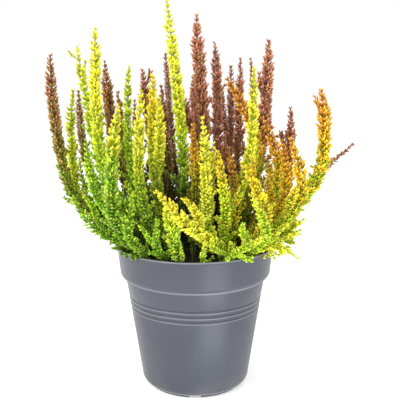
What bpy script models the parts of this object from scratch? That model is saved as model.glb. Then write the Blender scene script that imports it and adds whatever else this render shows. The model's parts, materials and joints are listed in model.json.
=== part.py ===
"""Potted heather: lime, orange and maroon plants grown together in one grey plastic pot.

Metres, +Z up. The origin is the middle of the face that the pot stands on, and the front is -Y.
The named sizes below are in millimetres, and every mesh is scaled to metres as it is made.
"""
import math
import random

import bmesh
import bpy
import numpy as np

MM = 0.001
ROUND_STEPS = 36

# The pot: a thin turned shell with a deep rim band, three grooves and a notched foot
POT_HEIGHT = 118.5
WALL = 1.5
LIP_RADIUS = 65.2
LIP_HEIGHT = 2.4
LIP_ROUND = 0.3
LIP_ROUND_DROP = 0.4
LIP_EDGE = 0.6
LIP_TOP_INSET = 0.4
LIP_INNER_INSET = 0.2
RIM_TOP_RADIUS = 64.8
RIM_LOW_RADIUS = 63.0
RIM_LOW = 98.0
SHOULDER = 92.4
BODY_RADIUS_AT_ZERO = 44.2
BODY_TAPER = 0.153
BODY_FOOT = 8.8
INNER_FOOT_RISE = 1.0
INNER_CORNER_EASE = 0.4
SHOULDER_POINTS = 5
CORNER_POINTS = 4
GROOVE_HEIGHTS = (76.6, 72.2, 67.8)
GROOVE_WIDTH = 2.6
GROOVE_DEPTH = 0.7
FLOOR_UNDERSIDE = 2.0
FLOOR_TOP = 3.6
CORNER_RADIUS = 40.8
FOOT_OUTER = 40.2
FOOT_INNER = 38.2
FOOT_DRAFT = 0.1
PAD_RADIUS = 13.0
PAD_DRAFT = 0.4
NOTCHES = 6
NOTCH_WIDTH = 9.6
NOTCH_TOP = 1.8
NOTCH_CUT = 8.0
DRAIN_RING = 26.0
DRAIN_RADIUS = 4.0
DRAIN_CUT = 4.0
DRAIN_SIDES = 10
SEAM = 0.05

# The compost, and the holes that the stems stand in
GAP = 0.3
SOIL_TOP = 108.5
ROOT_DEPTH = 16.0
HOLE_EASE = 0.05
HOLE_SIDES = 5

# Where the listed points of the stems are seen from, a little from above
EYE_X = 4.0
EYE_BACK = 510.0
EYE_HEIGHT = 237.0
EYE_PITCH = math.radians(9.1)

# The leafy stems
STEM_RADIUS = 1.4
STEM_TIP_RADIUS = 0.8
ROUTE_STEP = 6.0
RISE_FROM_ROOT = 0.45
MIDDLE_LEAN = 0.2
SIDE_LEAVE = 1.3
SIDE_BACK = 0.3
RING_STEP = 7.4
NEEDLE_RISE = 4.6
BARE_STEM = 7.0
FULL_HEIGHT = 16.0
TIP_TAPER = 24.0
TIP_SHARE = 0.5
TIP_REACH = 1.8
RING_TWIST = 11.0
BARE_RING = 0.45
TIP_BARE = 2.5
TIP_POINT = 1.5
SIDE_CORE = 0.8
FULL_RISE_REACH = 4.0
SHORTEST_NEEDLE = 0.86
RISE_SPREAD = 0.15
CLEARANCE = 0.9
RIM_CLEARANCE = 1.8
SETTLE_ROUNDS = 200
PAIR_ROUNDS = 20
PAIR_MARGIN = 6.0
SHOVE = 0.6
TIP_EASE = 0.3
ROOT_FROM_WALL = 5.5
ROOT_LIFT = 1.0
NEEDLED = 0.3
HOME_ROUNDS = 150
HOME_PULL = 0.04
SIDE_BARE = 5.0
SIDE_REACH = 0.85
FORK_LENGTH = 17.0

# The short side shoots that fill the lower half of the bush: one low on each long stem that has
# no side shoot of its own in the list, leaning to either side in turn
LONG_STEM = 95.0
LOW_SHARES = (0.24, 0.34, 0.44)
LOW_ALONG = 14.0
LOW_UP = 21.0
LOW_ASIDE = 15.0
LOW_TURN = 70.0

# Each leafy stem: tint, root on the compost, a point half-way, its tip, how far its needles
# reach from its middle, and its side shoots, each with where it leaves the stem and its tip
SHOOTS = [
    ("bronze", (-50, -4), (-103, -6, 173), (-116, -8, 275), 5.2, ()),
    ("lime", (-42, 8), (-80, 10, 192), (-98, 10, 283), 4.8,
     ((0.86, (-92, 14, 272)), (0.93, (-106, 8, 281)))),
    ("yellow", (-40, -12), (-75, -16, 200), (-79, -12, 297), 5.2, ()),
    ("green", (-51, 8), (-100, 14, 166), (-102, 16, 248), 4.6, ((0.34, (-93, 6, 160)),)),
    ("bronze", (-44, 20), (-96, 44, 182), (-104, 48, 247), 4.4, ()),
    ("bronze", (-33, 17), (-70, 42, 196), (-81, 50, 272), 5.6, ()),
    ("bronze", (-25, 10), (-62, 34, 189), (-68, 40, 246), 4.4, ()),
    ("green", (-34, 2), (-56, 12, 202), (-55, 13, 266), 4.4, ()),
    ("yellow", (-46, -30), (-64, -46, 160), (-56, -50, 234), 5.6, ((0.34, (-68, -50, 186)),)),
    ("yellow", (-31, -21), (-43, -27, 182), (-41, -26, 247), 4.8, ()),
    ("yellow", (-22, -14), (-30, -18, 189), (-33, -16, 258), 5.6, ((0.44, (-28, -30, 240)),)),
    ("green", (-44, -20), (-79, -26, 169), (-84, -26, 208), 4.6, ()),
    ("green", (-52, 18), (-92, 28, 149), (-100, 32, 188), 4.2, ()),
    ("green", (-48, -16), (-82, -22, 139), (-97, -20, 162), 4.8, ((0.50, (-86, -27, 164)),)),
    ("green", (-30, -8), (-49, -4, 165), (-52, -2, 203), 4.2, ()),
    ("green", (-34, -43), (-48, -58, 140), (-44, -60, 170), 4.4, ()),
    ("green", (-22, -46), (-31, -62, 135), (-29, -63, 153), 4.0, ((0.40, (-39, -67, 147)),)),
    ("yellow", (-9, -49), (-15, -57, 136), (-22, -50, 166), 5.6, ()),
    ("lime", (-8, -6), (-11, 0, 212), (-23, -2, 318), 5.2, ()),
    ("orange", (26, 2), (51, 5, 205), (25, 4, 257), 5.4, ()),
    ("lime", (20, -12), (44, -24, 208), (46, -22, 264), 4.8, ()),
    ("orange", (38, -6), (67, -5, 187), (54, -4, 223), 5.4, ((0.48, (60, 6, 196)),)),
    ("orange", (50, -2), (103, -6, 190), (100, -6, 248), 6.0,
     ((0.56, (91, -10, 187)), (0.86, (96, -9, 241)))),
    ("orange", (46, -20), (81, -33, 174), (73, -32, 208), 5.6, ()),
    ("orange", (36, -16), (71, -25, 166), (67, -24, 207), 4.8, ((0.46, (60, -36, 186)),)),
    ("yellow", (6, -28), (10, -38, 168), (6, -36, 224), 5.0, ((0.42, (14, -30, 206)),)),
    ("amber", (20, -32), (23, -45, 162), (17, -44, 201), 4.6, ()),
    ("amber", (26, -22), (31, -28, 161), (26, -24, 203), 4.4, ()),
    ("orange", (-2, -18), (0, -15, 170), (-2, -13, 219), 4.8, ()),
    ("yellow", (29, -36), (3, -64, 149), (-26, -71, 177), 5.2, ()),
    ("lime", (43, -33), (62, -45, 124), (76, -50, 117), 4.6,
     ((0.50, (77, -42, 133)), (0.36, (71, -46, 143)))),
    ("amber", (34, -28), (53, -48, 152), (34, -52, 192), 4.8, ((0.42, (44, -44, 196)),)),
    ("lime", (38, -39), (53, -54, 142), (40, -58, 171), 4.4, ((0.28, (37, -67, 150)),)),
    ("lime", (20, -43), (35, -60, 126), (53, -66, 139), 4.0, ((0.30, (13, -67, 134)),)),
    ("lime", (2, -52), (6, -60, 120), (8, -66, 134), 3.6, ()),
    ("lime", (53, -15), (76, -15, 134), (83, -13, 158), 5.2,
     ((0.44, (85, -20, 141)), (0.30, (82, -27, 131)))),
    ("maroon", (50, 14), (91, 13, 165), (131, 10, 201), 3.6, ()),
    ("maroon", (-22, 28), (-37, 48, 195), (-48, 54, 266), 5.8, ((0.88, (-41, 56, 266)),)),
    ("maroon", (-12, 18), (-25, 36, 194), (-30, 38, 251), 4.6, ()),
    ("maroon", (-8, 34), (-21, 60, 199), (-28, 68, 283), 3.8, ()),
    ("maroon", (4, 24), (4, 20, 210), (1, 22, 311), 6.0, ((0.44, (-13, 14, 253)),)),
    ("maroon", (14, 18), (20, 34, 199), (17, 36, 289), 5.0, ((0.60, (10, 30, 227)),)),
    ("maroon", (20, 28), (30, 50, 194), (32, 58, 270), 4.2, ((0.55, (24, 46, 250)),)),
    ("maroon", (30, 20), (37, 40, 199), (40, 46, 276), 4.4, ()),
    ("maroon", (24, 40), (54, 72, 198), (52, 84, 277), 3.8, ()),
    ("maroon", (38, 12), (56, 16, 212), (61, 15, 290), 5.6, ((0.70, (54, 10, 260)),)),
    ("maroon", (42, 24), (81, 30, 192), (82, 36, 232), 5.0, ((0.66, (76, 38, 212)),)),
    ("maroon", (-32, 34), (-51, 66, 180), (-58, 84, 237), 4.6, ()),
    ("maroon", (-18, 44), (-29, 76, 170), (-34, 102, 224), 4.8, ()),
    ("maroon", (2, 42), (1, 68, 188), (-3, 86, 262), 5.0, ()),
    ("maroon", (12, 50), (24, 82, 166), (32, 106, 212), 4.6, ()),
    ("maroon", (34, 36), (58, 64, 178), (70, 84, 238), 4.8, ()),
    ("orange", (43, 33), (80, 50, 158), (90, 62, 194), 4.8, ()),
    ("green", (-44, 32), (-80, 50, 160), (-92, 66, 216), 4.6, ()),
    ("maroon", (-6, 53), (-12, 78, 135), (-14, 98, 166), 4.2, ()),
    ("amber", (25, 48), (46, 76, 138), (58, 94, 172), 4.2, ()),
    ("lime", (-30, 45), (-56, 68, 135), (-70, 88, 168), 4.4, ()),
]

TINTS = {
    "lime": (0.42, 0.58, 0.03),
    "yellow": (0.62, 0.60, 0.03),
    "green": (0.16, 0.30, 0.03),
    "amber": (0.66, 0.42, 0.03),
    "orange": (0.58, 0.24, 0.03),
    "bronze": (0.24, 0.15, 0.04),
    "maroon": (0.20, 0.07, 0.05),
}
POT_GREY = (0.16, 0.17, 0.19)
POT_ROUGHNESS = 0.42
SOIL_BLACK = (0.012, 0.010, 0.009)
SOIL_ROUGHNESS = 0.95
LEAF_ROUGHNESS = 0.6
NEEDLE_SEED = 11


def clear_scene():
    """Remove whatever the file opens with."""
    for obj in list(bpy.data.objects):
        bpy.data.objects.remove(obj)


def material(name, colour, roughness):
    """A plain Principled material."""
    mat = bpy.data.materials.new(name)
    mat.use_nodes = True
    shader = mat.node_tree.nodes["Principled BSDF"]
    shader.inputs["Base Color"].default_value = (*colour, 1.0)
    shader.inputs["Roughness"].default_value = roughness
    shader.inputs["Metallic"].default_value = 0.0
    return mat


def object_from(name, points, faces, collection, mat=None):
    """An object from points in millimetres."""
    mesh = bpy.data.meshes.new(name)
    mesh.from_pydata([tuple(c * MM for c in p) for p in points], [], faces)
    mesh.update()
    obj = bpy.data.objects.new(name, mesh)
    collection.objects.link(obj)
    if mat:
        mesh.materials.append(mat)
    return obj


def turned(name, profile, collection, mat):
    """A profile of (radius, height) points turned once round +Z."""
    points = [(radius, 0.0, height) for radius, height in profile]
    obj = object_from(name, points, [], collection, mat)
    obj.data.edges.add(len(points) - 1)
    for index, edge in enumerate(obj.data.edges):
        edge.vertices = (index, index + 1)
    screw = obj.modifiers.new("turn", "SCREW")
    screw.steps = ROUND_STEPS
    screw.render_steps = ROUND_STEPS
    screw.use_merge_vertices = True
    screw.merge_threshold = SEAM * MM
    return obj


def cutter_box(name, size, place, turn, collection):
    """A box that cuts, turned about +Z."""
    bpy.ops.mesh.primitive_cube_add(size=MM, location=[c * MM for c in place], rotation=(0, 0, turn))
    return keep_cutter(name, size, collection)


def cutter_rod(name, radius, height, sides, place, collection):
    """An upright rod that cuts."""
    bpy.ops.mesh.primitive_cylinder_add(vertices=sides, radius=radius * MM, depth=height * MM,
                                        location=[c * MM for c in place])
    return keep_cutter(name, (1, 1, 1), collection)


def keep_cutter(name, scale, collection):
    """Name the active object, and keep it as a hidden cutter."""
    obj = bpy.context.object
    obj.name = name
    obj.scale = scale
    for owner in list(obj.users_collection):
        owner.objects.unlink(obj)
    collection.objects.link(obj)
    obj.hide_render = True
    obj.display_type = "WIRE"
    return obj


def cut(obj, collection):
    """Cut every object of a collection out of obj."""
    boolean = obj.modifiers.new("cut", "BOOLEAN")
    boolean.operation = "DIFFERENCE"
    boolean.operand_type = "COLLECTION"
    boolean.collection = collection
    boolean.solver = "EXACT"


def body_radius(height):
    """Outer radius of the pot's tapered body."""
    return BODY_RADIUS_AT_ZERO + BODY_TAPER * height


def bend(centre, radii, start, end, count):
    """Points along an ellipse's arc, its angles in degrees from +X."""
    angles = [math.radians(start + (end - start) * i / (count - 1)) for i in range(count)]
    return [(centre[0] + radii[0] * math.cos(a), centre[1] + radii[1] * math.sin(a)) for a in angles]


def inner_wall():
    """Inside of the pot from the floor's edge up to the lip."""
    low = BODY_FOOT + INNER_FOOT_RISE
    return [
        (CORNER_RADIUS + INNER_CORNER_EASE, FLOOR_TOP),
        (body_radius(low) - WALL, low),
        (body_radius(SHOULDER) - WALL, SHOULDER + WALL),
        (RIM_LOW_RADIUS - WALL, RIM_LOW + WALL),
        (RIM_TOP_RADIUS - WALL, POT_HEIGHT - LIP_HEIGHT),
    ]


def outer_wall():
    """Outside of the pot from the lip down to the foot."""
    shoulder_radius = body_radius(SHOULDER)
    points = [
        (LIP_RADIUS - LIP_ROUND, POT_HEIGHT - LIP_ROUND_DROP),
        (LIP_RADIUS, POT_HEIGHT - LIP_HEIGHT + LIP_EDGE),
        (RIM_TOP_RADIUS, POT_HEIGHT - LIP_HEIGHT),
    ]
    points += bend((shoulder_radius, RIM_LOW), (RIM_LOW_RADIUS - shoulder_radius, RIM_LOW - SHOULDER),
                   0, -90, SHOULDER_POINTS)
    for height in GROOVE_HEIGHTS:
        top = height + GROOVE_WIDTH / 2
        bottom = height - GROOVE_WIDTH / 2
        points += [(body_radius(top), top), (body_radius(height) - GROOVE_DEPTH, height),
                   (body_radius(bottom), bottom)]
    foot_radius = body_radius(BODY_FOOT)
    points += bend((CORNER_RADIUS, BODY_FOOT), (foot_radius - CORNER_RADIUS, BODY_FOOT - FLOOR_UNDERSIDE),
                   0, -90, CORNER_POINTS)
    return points


def pot(parts, cutters):
    """The pot, with its drain holes and the notches in its foot."""
    lip_top = [
        (RIM_TOP_RADIUS - WALL + LIP_INNER_INSET, POT_HEIGHT - LIP_ROUND),
        (RIM_TOP_RADIUS - LIP_TOP_INSET, POT_HEIGHT),
    ]
    foot = [
        (FOOT_OUTER, FLOOR_UNDERSIDE),
        (FOOT_OUTER - FOOT_DRAFT, 0.0),
        (FOOT_INNER + FOOT_DRAFT, 0.0),
        (FOOT_INNER, FLOOR_UNDERSIDE),
        (PAD_RADIUS, FLOOR_UNDERSIDE),
        (PAD_RADIUS - PAD_DRAFT, 0.0),
        (0.0, 0.0),
    ]
    profile = [(0.0, FLOOR_TOP)] + inner_wall() + lip_top + outer_wall() + foot
    obj = turned("pot", profile, parts, material("pot_plastic", POT_GREY, POT_ROUGHNESS))
    for index in range(NOTCHES):
        notch = math.tau * index / NOTCHES - math.pi / 2
        drain = notch + math.pi / NOTCHES
        middle = (FOOT_OUTER + FOOT_INNER) / 2
        cutter_box(f"notch_{index}", (NOTCH_CUT, NOTCH_WIDTH, 2 * NOTCH_TOP),
                   (middle * math.cos(notch), middle * math.sin(notch), 0.0), notch, cutters)
        cutter_rod(f"drain_{index}", DRAIN_RADIUS, DRAIN_CUT, DRAIN_SIDES,
                   (DRAIN_RING * math.cos(drain), DRAIN_RING * math.sin(drain),
                    (FLOOR_TOP + FLOOR_UNDERSIDE) / 2), cutters)
    cut(obj, cutters)


def compost(roots, parts, holes):
    """The plug of compost, a little clear of the pot, with a plain hole for each stem."""
    wall = [(radius - GAP, height + GAP) for radius, height in inner_wall()]
    top_radius = wall[-2][0] + (wall[-1][0] - wall[-2][0]) * (
        (SOIL_TOP - wall[-2][1]) / (wall[-1][1] - wall[-2][1]))
    profile = [(0.0, SOIL_TOP), (top_radius, SOIL_TOP)] + wall[-2::-1] + [(0.0, FLOOR_TOP + GAP)]
    obj = turned("compost", profile, parts, material("compost_black", SOIL_BLACK, SOIL_ROUGHNESS))
    hole_radius = (STEM_RADIUS + GAP) / math.cos(math.pi / HOLE_SIDES) + HOLE_EASE
    for index, (x, y) in enumerate(roots):
        cutter_rod(f"hole_{index}", hole_radius, 2 * (ROOT_DEPTH + GAP), HOLE_SIDES, (x, y, SOIL_TOP), holes)
    cut(obj, holes)


def hermite(start, end, leave, arrive, count):
    """Points on a smooth curve between two points with given end directions, the first left out."""
    t = (np.arange(count) + 1.0)[:, None] / count
    return ((2 * t**3 - 3 * t**2 + 1) * start + (t**3 - 2 * t**2 + t) * leave
            + (3 * t**2 - 2 * t**3) * end + (t**3 - t**2) * arrive)


def unit(vector):
    """The same direction at length one."""
    return vector / np.linalg.norm(vector)


def upright(x, y, z):
    """A listed point set upright: the list has points as they look from the front, a little from above."""
    deep = y + EYE_BACK
    up = z - EYE_HEIGHT
    up *= math.cos(EYE_PITCH) / (1 + up / deep * math.sin(EYE_PITCH))
    aside = (x - EYE_X) * (1 - up / deep * math.tan(EYE_PITCH))
    return np.array((EYE_X + aside, y, EYE_HEIGHT + up))


def stem_route(root, middle, tip):
    """Points from the root up through the middle to the tip; the stem leaves the soil upright."""
    start = np.array((*root, SOIL_TOP), float)
    middle = upright(*middle)
    tip = upright(*tip)
    low = np.linalg.norm(middle - start)
    high = np.linalg.norm(tip - middle)
    through = unit(MIDDLE_LEAN * unit(middle - start) + (1 - MIDDLE_LEAN) * unit(tip - middle))
    end = 2 * unit(tip - middle) - through
    lower = hermite(start, middle, np.array((0, 0, RISE_FROM_ROOT * low)), through * low,
                    round(low / ROUTE_STEP))
    upper = hermite(middle, tip, through * high, end * high, round(high / ROUTE_STEP))
    return np.vstack([start, lower, upper])


def side_route(parent, share, tip):
    """Points of a side shoot, from inside its parent stem out and up to its own tip."""
    index = round(share * (len(parent) - 1))
    start = parent[index]
    along = unit(parent[min(index + 1, len(parent) - 1)] - parent[index - 1])
    length = np.linalg.norm(tip - start)
    leave = unit(tip - start) * SIDE_LEAVE - along * SIDE_BACK
    count = max(3, round(length / ROUTE_STEP))
    return index, np.vstack([start, hermite(start, tip, leave * length, along * length, count)])


def reach_along(route, reach, bare):
    """How far needles reach from each point of a route: slim at its foot and at its tip."""
    steps = np.linalg.norm(np.diff(route, axis=0), axis=1)
    height = np.concatenate([[0.0], np.cumsum(steps)])
    grown = np.clip((height - bare) / (FULL_HEIGHT - BARE_STEM), 0, 1)
    left = np.clip((height[-1] - height) / min(TIP_TAPER, TIP_SHARE * height[-1]), 0, 1)
    at_tip = TIP_REACH / reach
    return height, STEM_RADIUS + (reach - STEM_RADIUS) * grown * (at_tip + (1 - at_tip) * left)


class Stem:
    """One stem or side shoot: its node, its route, and where it joins its parent."""

    def __init__(self, node, route, reach, bare, parent=None, joint=0):
        self.node = node
        self.planned = route
        self.shift = np.zeros_like(route)
        self.reach = reach
        self.bare = bare
        self.parent = parent
        self.joint = joint

    @property
    def route(self):
        return self.planned + self.shift


def low_side(route, turn):
    """Where a low side shoot leaves a stem, and its tip, which leans left or right of outward in turn."""
    share = LOW_SHARES[turn % len(LOW_SHARES)]
    index = round(share * (len(route) - 1))
    along = unit(route[index + 1] - route[index - 1])
    lean = math.atan2(route[index][1], route[index][0]) + math.radians(LOW_TURN) * (-1) ** turn
    aside = np.array((math.cos(lean), math.sin(lean), 0.0))
    return share, route[index] + along * LOW_ALONG + aside * LOW_ASIDE + np.array((0.0, 0.0, LOW_UP))


def plan_stems():
    """Every stem and side shoot along its planned route."""
    stems = []
    for node, (_, root, middle, tip, reach, sides) in enumerate(SHOOTS):
        stem = Stem(node, stem_route(root, middle, tip), reach, BARE_STEM)
        stems.append(stem)
        height = reach_along(stem.planned, reach, BARE_STEM)[0]
        if not sides and height[-1] > LONG_STEM:
            sides = (low_side(stem.planned, node),)
        else:
            sides = [(share, upright(*side_tip)) for share, side_tip in sides]
        for share, side_tip in sides:
            joint, route = side_route(stem.planned, share, side_tip)
            stems.append(Stem(node, route, reach * SIDE_REACH, SIDE_BARE, stem, joint))
    return stems


def near_pairs(points, reach, owner, node, free):
    """Pairs of points on different stems that are close enough to matter for some rounds.

    A side shoot's first stretch isn't free of its own stem, which it grows from.
    """
    square = (points**2).sum(axis=1)
    distance = np.sqrt(np.maximum(square[:, None] + square[None, :] - 2 * points @ points.T, 0))
    near = distance < reach[:, None] + reach[None, :] + CLEARANCE + PAIR_MARGIN
    near &= owner[:, None] != owner[None, :]
    near &= (node[:, None] != node[None, :]) | (free[:, None] & free[None, :])
    return np.nonzero(np.triu(near))


def settle(stems):
    """Bend the stems clear of each other, of the pot's rim and of the compost."""
    spans = np.cumsum([0] + [len(stem.planned) for stem in stems])
    owner = np.repeat(np.arange(len(stems)), np.diff(spans))
    node = np.array([stem.node for stem in stems])[owner]
    measured = [reach_along(stem.planned, stem.reach, stem.bare) for stem in stems]
    reach = np.concatenate([reaches for _, reaches in measured])
    free = np.concatenate([heights > (FORK_LENGTH if stem.parent else -1.0)
                           for stem, (heights, _) in zip(stems, measured)])
    for turn in range(SETTLE_ROUNDS):
        points = np.vstack([stem.route for stem in stems])
        if turn % PAIR_ROUNDS == 0:
            one, other = near_pairs(points, reach, owner, node, free)
        apart = points[one] - points[other]
        distance = np.linalg.norm(apart, axis=1) + 1e-6
        lack = np.clip(reach[one] + reach[other] + CLEARANCE - distance, 0, None)
        shove = apart * (lack / distance)[:, None]
        push = np.zeros_like(points)
        np.add.at(push, one, shove)
        np.add.at(push, other, -shove)
        crowd = np.bincount(one, lack > 0, len(points)) + np.bincount(other, lack > 0, len(points))
        push *= SHOVE / np.maximum(crowd, 1)[:, None]
        push += keep_clear_of_pot(points, reach)
        pull = HOME_PULL if turn < HOME_ROUNDS else 0.0
        for stem, first, last in zip(stems, spans[:-1], spans[1:]):
            ease(stem, push[first:last], pull)


def keep_clear_of_pot(points, reach):
    """Pushes that lift stems over the rim and off the compost."""
    push = np.zeros_like(points)
    radius = np.hypot(points[:, 0], points[:, 1])
    wall = LIP_RADIUS - WALL / 2
    outward = points[:, :2] / np.maximum(radius, 1e-6)[:, None]
    below = np.minimum(points[:, 2], POT_HEIGHT - WALL / 2)
    away = np.stack([radius - wall, points[:, 2] - below], axis=1)
    distance = np.maximum(np.hypot(away[:, 0], away[:, 1]), 1e-6)
    lack = np.clip(reach + WALL + RIM_CLEARANCE - distance, 0, None) * SHOVE
    away = np.where((radius > wall)[:, None], (0.0, 1.0), away / distance[:, None])
    push[:, :2] += outward * (away[:, 0] * lack)[:, None]
    push[:, 2] += away[:, 1] * lack
    sunk = np.clip(SOIL_TOP + reach + 2 * CLEARANCE - points[:, 2], 0, None)
    push[:, 2] += np.where((reach > STEM_RADIUS + NEEDLED) & (radius < wall), sunk, 0) * SHOVE
    return push


def ease(stem, push, pull):
    """Take a push up smoothly along a stem, which springs back a little to its planned line.

    Its root stays at the compost's surface.
    """
    shift = stem.shift * (1 - pull) + push
    if stem.parent:
        shift[0] = stem.parent.shift[stem.joint]
    else:
        shift[0, 2] = 0.0
        shift[1, 2] = min(shift[1, 2], ROOT_LIFT)
        root = stem.planned[0, :2] + shift[0, :2]
        limit = RIM_LOW_RADIUS - WALL - ROOT_FROM_WALL
        shift[0, :2] -= root * max(0.0, 1 - limit / np.linalg.norm(root))
    smooth = shift.copy()
    smooth[1:-1] = 0.5 * shift[1:-1] + 0.25 * (shift[:-2] + shift[2:])
    smooth[-1] = (1 - TIP_EASE) * shift[-1] + TIP_EASE * shift[-2]
    stem.shift = smooth


def frames(route, heights, wanted):
    """Middle, tangent and two side directions at wanted heights along a route, without twisting."""
    middles = np.stack([np.interp(wanted, heights, route[:, axis]) for axis in range(3)], axis=1)
    tangents = np.gradient(middles, axis=0)
    side = np.array((1.0, 0.0, 0.0))
    for middle, tangent in zip(middles, tangents):
        tangent = unit(tangent)
        side = unit(side - tangent * side.dot(tangent))
        yield middle, tangent, side, np.cross(tangent, side)


def needle_surface(stem, draw):
    """Points and faces of one closed leafy stem.

    Rings of four corners follow the route. Ring by ring, two opposite corners rise into needles
    and the other two stay on the slim core, turned a quarter from those of the ring below, as
    heather's leaf pairs are. Each square between rings is folded from core corner to core corner.
    """
    route = stem.route
    heights, reaches = reach_along(route, stem.reach, stem.bare)
    length = heights[-1]
    rings = max(3, round((length - stem.bare) / RING_STEP))
    leafy = stem.bare + (length - stem.bare - TIP_BARE) * np.arange(rings) / (rings - 1)
    bare = [0.0] if stem.parent else [0.0, stem.bare * BARE_RING]
    wanted = np.concatenate([bare, leafy])
    points = []
    for ring, (middle, tangent, side, front) in enumerate(frames(route, heights, wanted)):
        share = wanted[ring] / length
        core = STEM_RADIUS + (STEM_TIP_RADIUS - STEM_RADIUS) * share
        if stem.parent:
            core *= SIDE_CORE
        if not points and not stem.parent:
            side, front = np.array((1.0, 0.0, 0.0)), np.array((0.0, 1.0, 0.0))
            points += corners(middle - np.array((0, 0, ROOT_DEPTH)), side, front, core)
        reach = np.interp(wanted[ring], heights, reaches)
        points += ring_corners(ring, middle, tangent, side, front, core, reach, ring >= len(bare), draw)
    points.append(route[-1] + unit(route[-1] - route[-2]) * TIP_POINT)
    skipped = 0 if stem.parent else 1
    return points, needle_faces(len(wanted) + skipped, skipped)


def corners(middle, side, front, core):
    """Four corners on the core."""
    return [middle + (side * math.cos(a) + front * math.sin(a)) * core
            for a in (0, math.pi / 2, math.pi, 3 * math.pi / 2)]


def ring_corners(ring, middle, tangent, side, front, core, reach, leafy, draw):
    """Four corners of a ring, of which two rise into needles where the stem is leafy."""
    turn = math.radians(RING_TWIST) * ring
    points = []
    for corner in range(4):
        angle = turn + corner * math.pi / 2
        outward = side * math.cos(angle) + front * math.sin(angle)
        if leafy and (corner + ring) % 2 == 0:
            long = draw.uniform(SHORTEST_NEEDLE, 1.0)
            rise = NEEDLE_RISE * min(1.0, reach / FULL_RISE_REACH)
            rise *= draw.uniform(1 - RISE_SPREAD, 1 + RISE_SPREAD)
            points.append(middle + outward * reach * long + tangent * rise)
        else:
            points.append(middle + outward * core)
    return points


def needle_faces(ring_count, skipped):
    """Triangles between rings of four, a cap below and a fan to the last point above."""
    faces = [(3, 2, 1, 0)]
    for ring in range(ring_count - 1):
        for corner in range(4):
            low = 4 * ring + corner
            low_next = 4 * ring + (corner + 1) % 4
            high = low + 4
            high_next = low_next + 4
            if (corner + ring - skipped) % 2 == 0:
                faces += [(low, low_next, high), (low_next, high_next, high)]
            else:
                faces += [(low, low_next, high_next), (low, high_next, high)]
    last = 4 * (ring_count - 1)
    tip = 4 * ring_count
    faces += [(last + corner, last + (corner + 1) % 4, tip) for corner in range(4)]
    return faces


def join_side_shoots(obj, others, parts):
    """Fuse side shoots with their stem in one solid, and remove what was joined."""
    group = bpy.data.collections.new(obj.name + "_sides")
    bpy.context.scene.collection.children.link(group)
    for other in others:
        parts.objects.unlink(other)
        group.objects.link(other)
    boolean = obj.modifiers.new("join", "BOOLEAN")
    boolean.operation = "UNION"
    boolean.operand_type = "COLLECTION"
    boolean.collection = group
    boolean.solver = "EXACT"
    depsgraph = bpy.context.evaluated_depsgraph_get()
    joined = bpy.data.meshes.new_from_object(obj.evaluated_get(depsgraph))
    obj.modifiers.clear()
    obj.data = joined
    for other in others:
        bpy.data.objects.remove(other)
    bpy.data.collections.remove(group)
    keep_outer_skin(joined)


def keep_outer_skin(mesh):
    """Keep the largest connected skin, which fills what the join sealed off and drops scraps."""
    shape = bmesh.new()
    shape.from_mesh(mesh)
    unseen = set(shape.verts)
    skins = []
    while unseen:
        waiting = [unseen.pop()]
        skin = set(waiting)
        while waiting:
            vert = waiting.pop()
            near = {edge.other_vert(vert) for edge in vert.link_edges} - skin
            skin |= near
            waiting += near
        unseen -= skin
        skins.append(skin)
    largest = max(skins, key=len)
    loose = [vert for vert in shape.verts if vert not in largest]
    bmesh.ops.delete(shape, geom=loose, context="VERTS")
    shape.to_mesh(mesh)
    shape.free()


def leafy_stems(stems, parts):
    """One object for each leafy stem, named for its tint."""
    draw = random.Random(NEEDLE_SEED)
    count = dict.fromkeys(TINTS, 0)
    for node, shoot in enumerate(SHOOTS):
        tint = shoot[0]
        count[tint] += 1
        name = f"{tint}_stem_{count[tint]:02d}"
        mat = material(name + "_leaf", TINTS[tint], LEAF_ROUGHNESS)
        solids = []
        for stem in stems:
            if stem.node == node:
                own_name = name + "_side" if stem.parent else name
                solids.append(object_from(own_name, *needle_surface(stem, draw), parts, mat))
        if len(solids) > 1:
            join_side_shoots(solids[0], solids[1:], parts)


def main():
    """Build the pot, the compost and the leafy stems."""
    clear_scene()
    scene = bpy.context.scene
    parts = bpy.data.collections.new("potted_heather")
    cutters = bpy.data.collections.new("pot_cutters")
    holes = bpy.data.collections.new("stem_holes")
    for collection in (parts, cutters, holes):
        scene.collection.children.link(collection)
    stems = plan_stems()
    settle(stems)
    pot(parts, cutters)
    compost([stem.route[0, :2] for stem in stems if not stem.parent], parts, holes)
    leafy_stems(stems, parts)


main()
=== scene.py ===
"""Potted heather: the looks of the pot, the compost and the leafy stems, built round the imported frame.

Sizes are in millimetres and angles in degrees, except the strays, tumbles, phases and the lean at a
tip, which are in radians. Meshes are in metres.
"""

import json
import math

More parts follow.
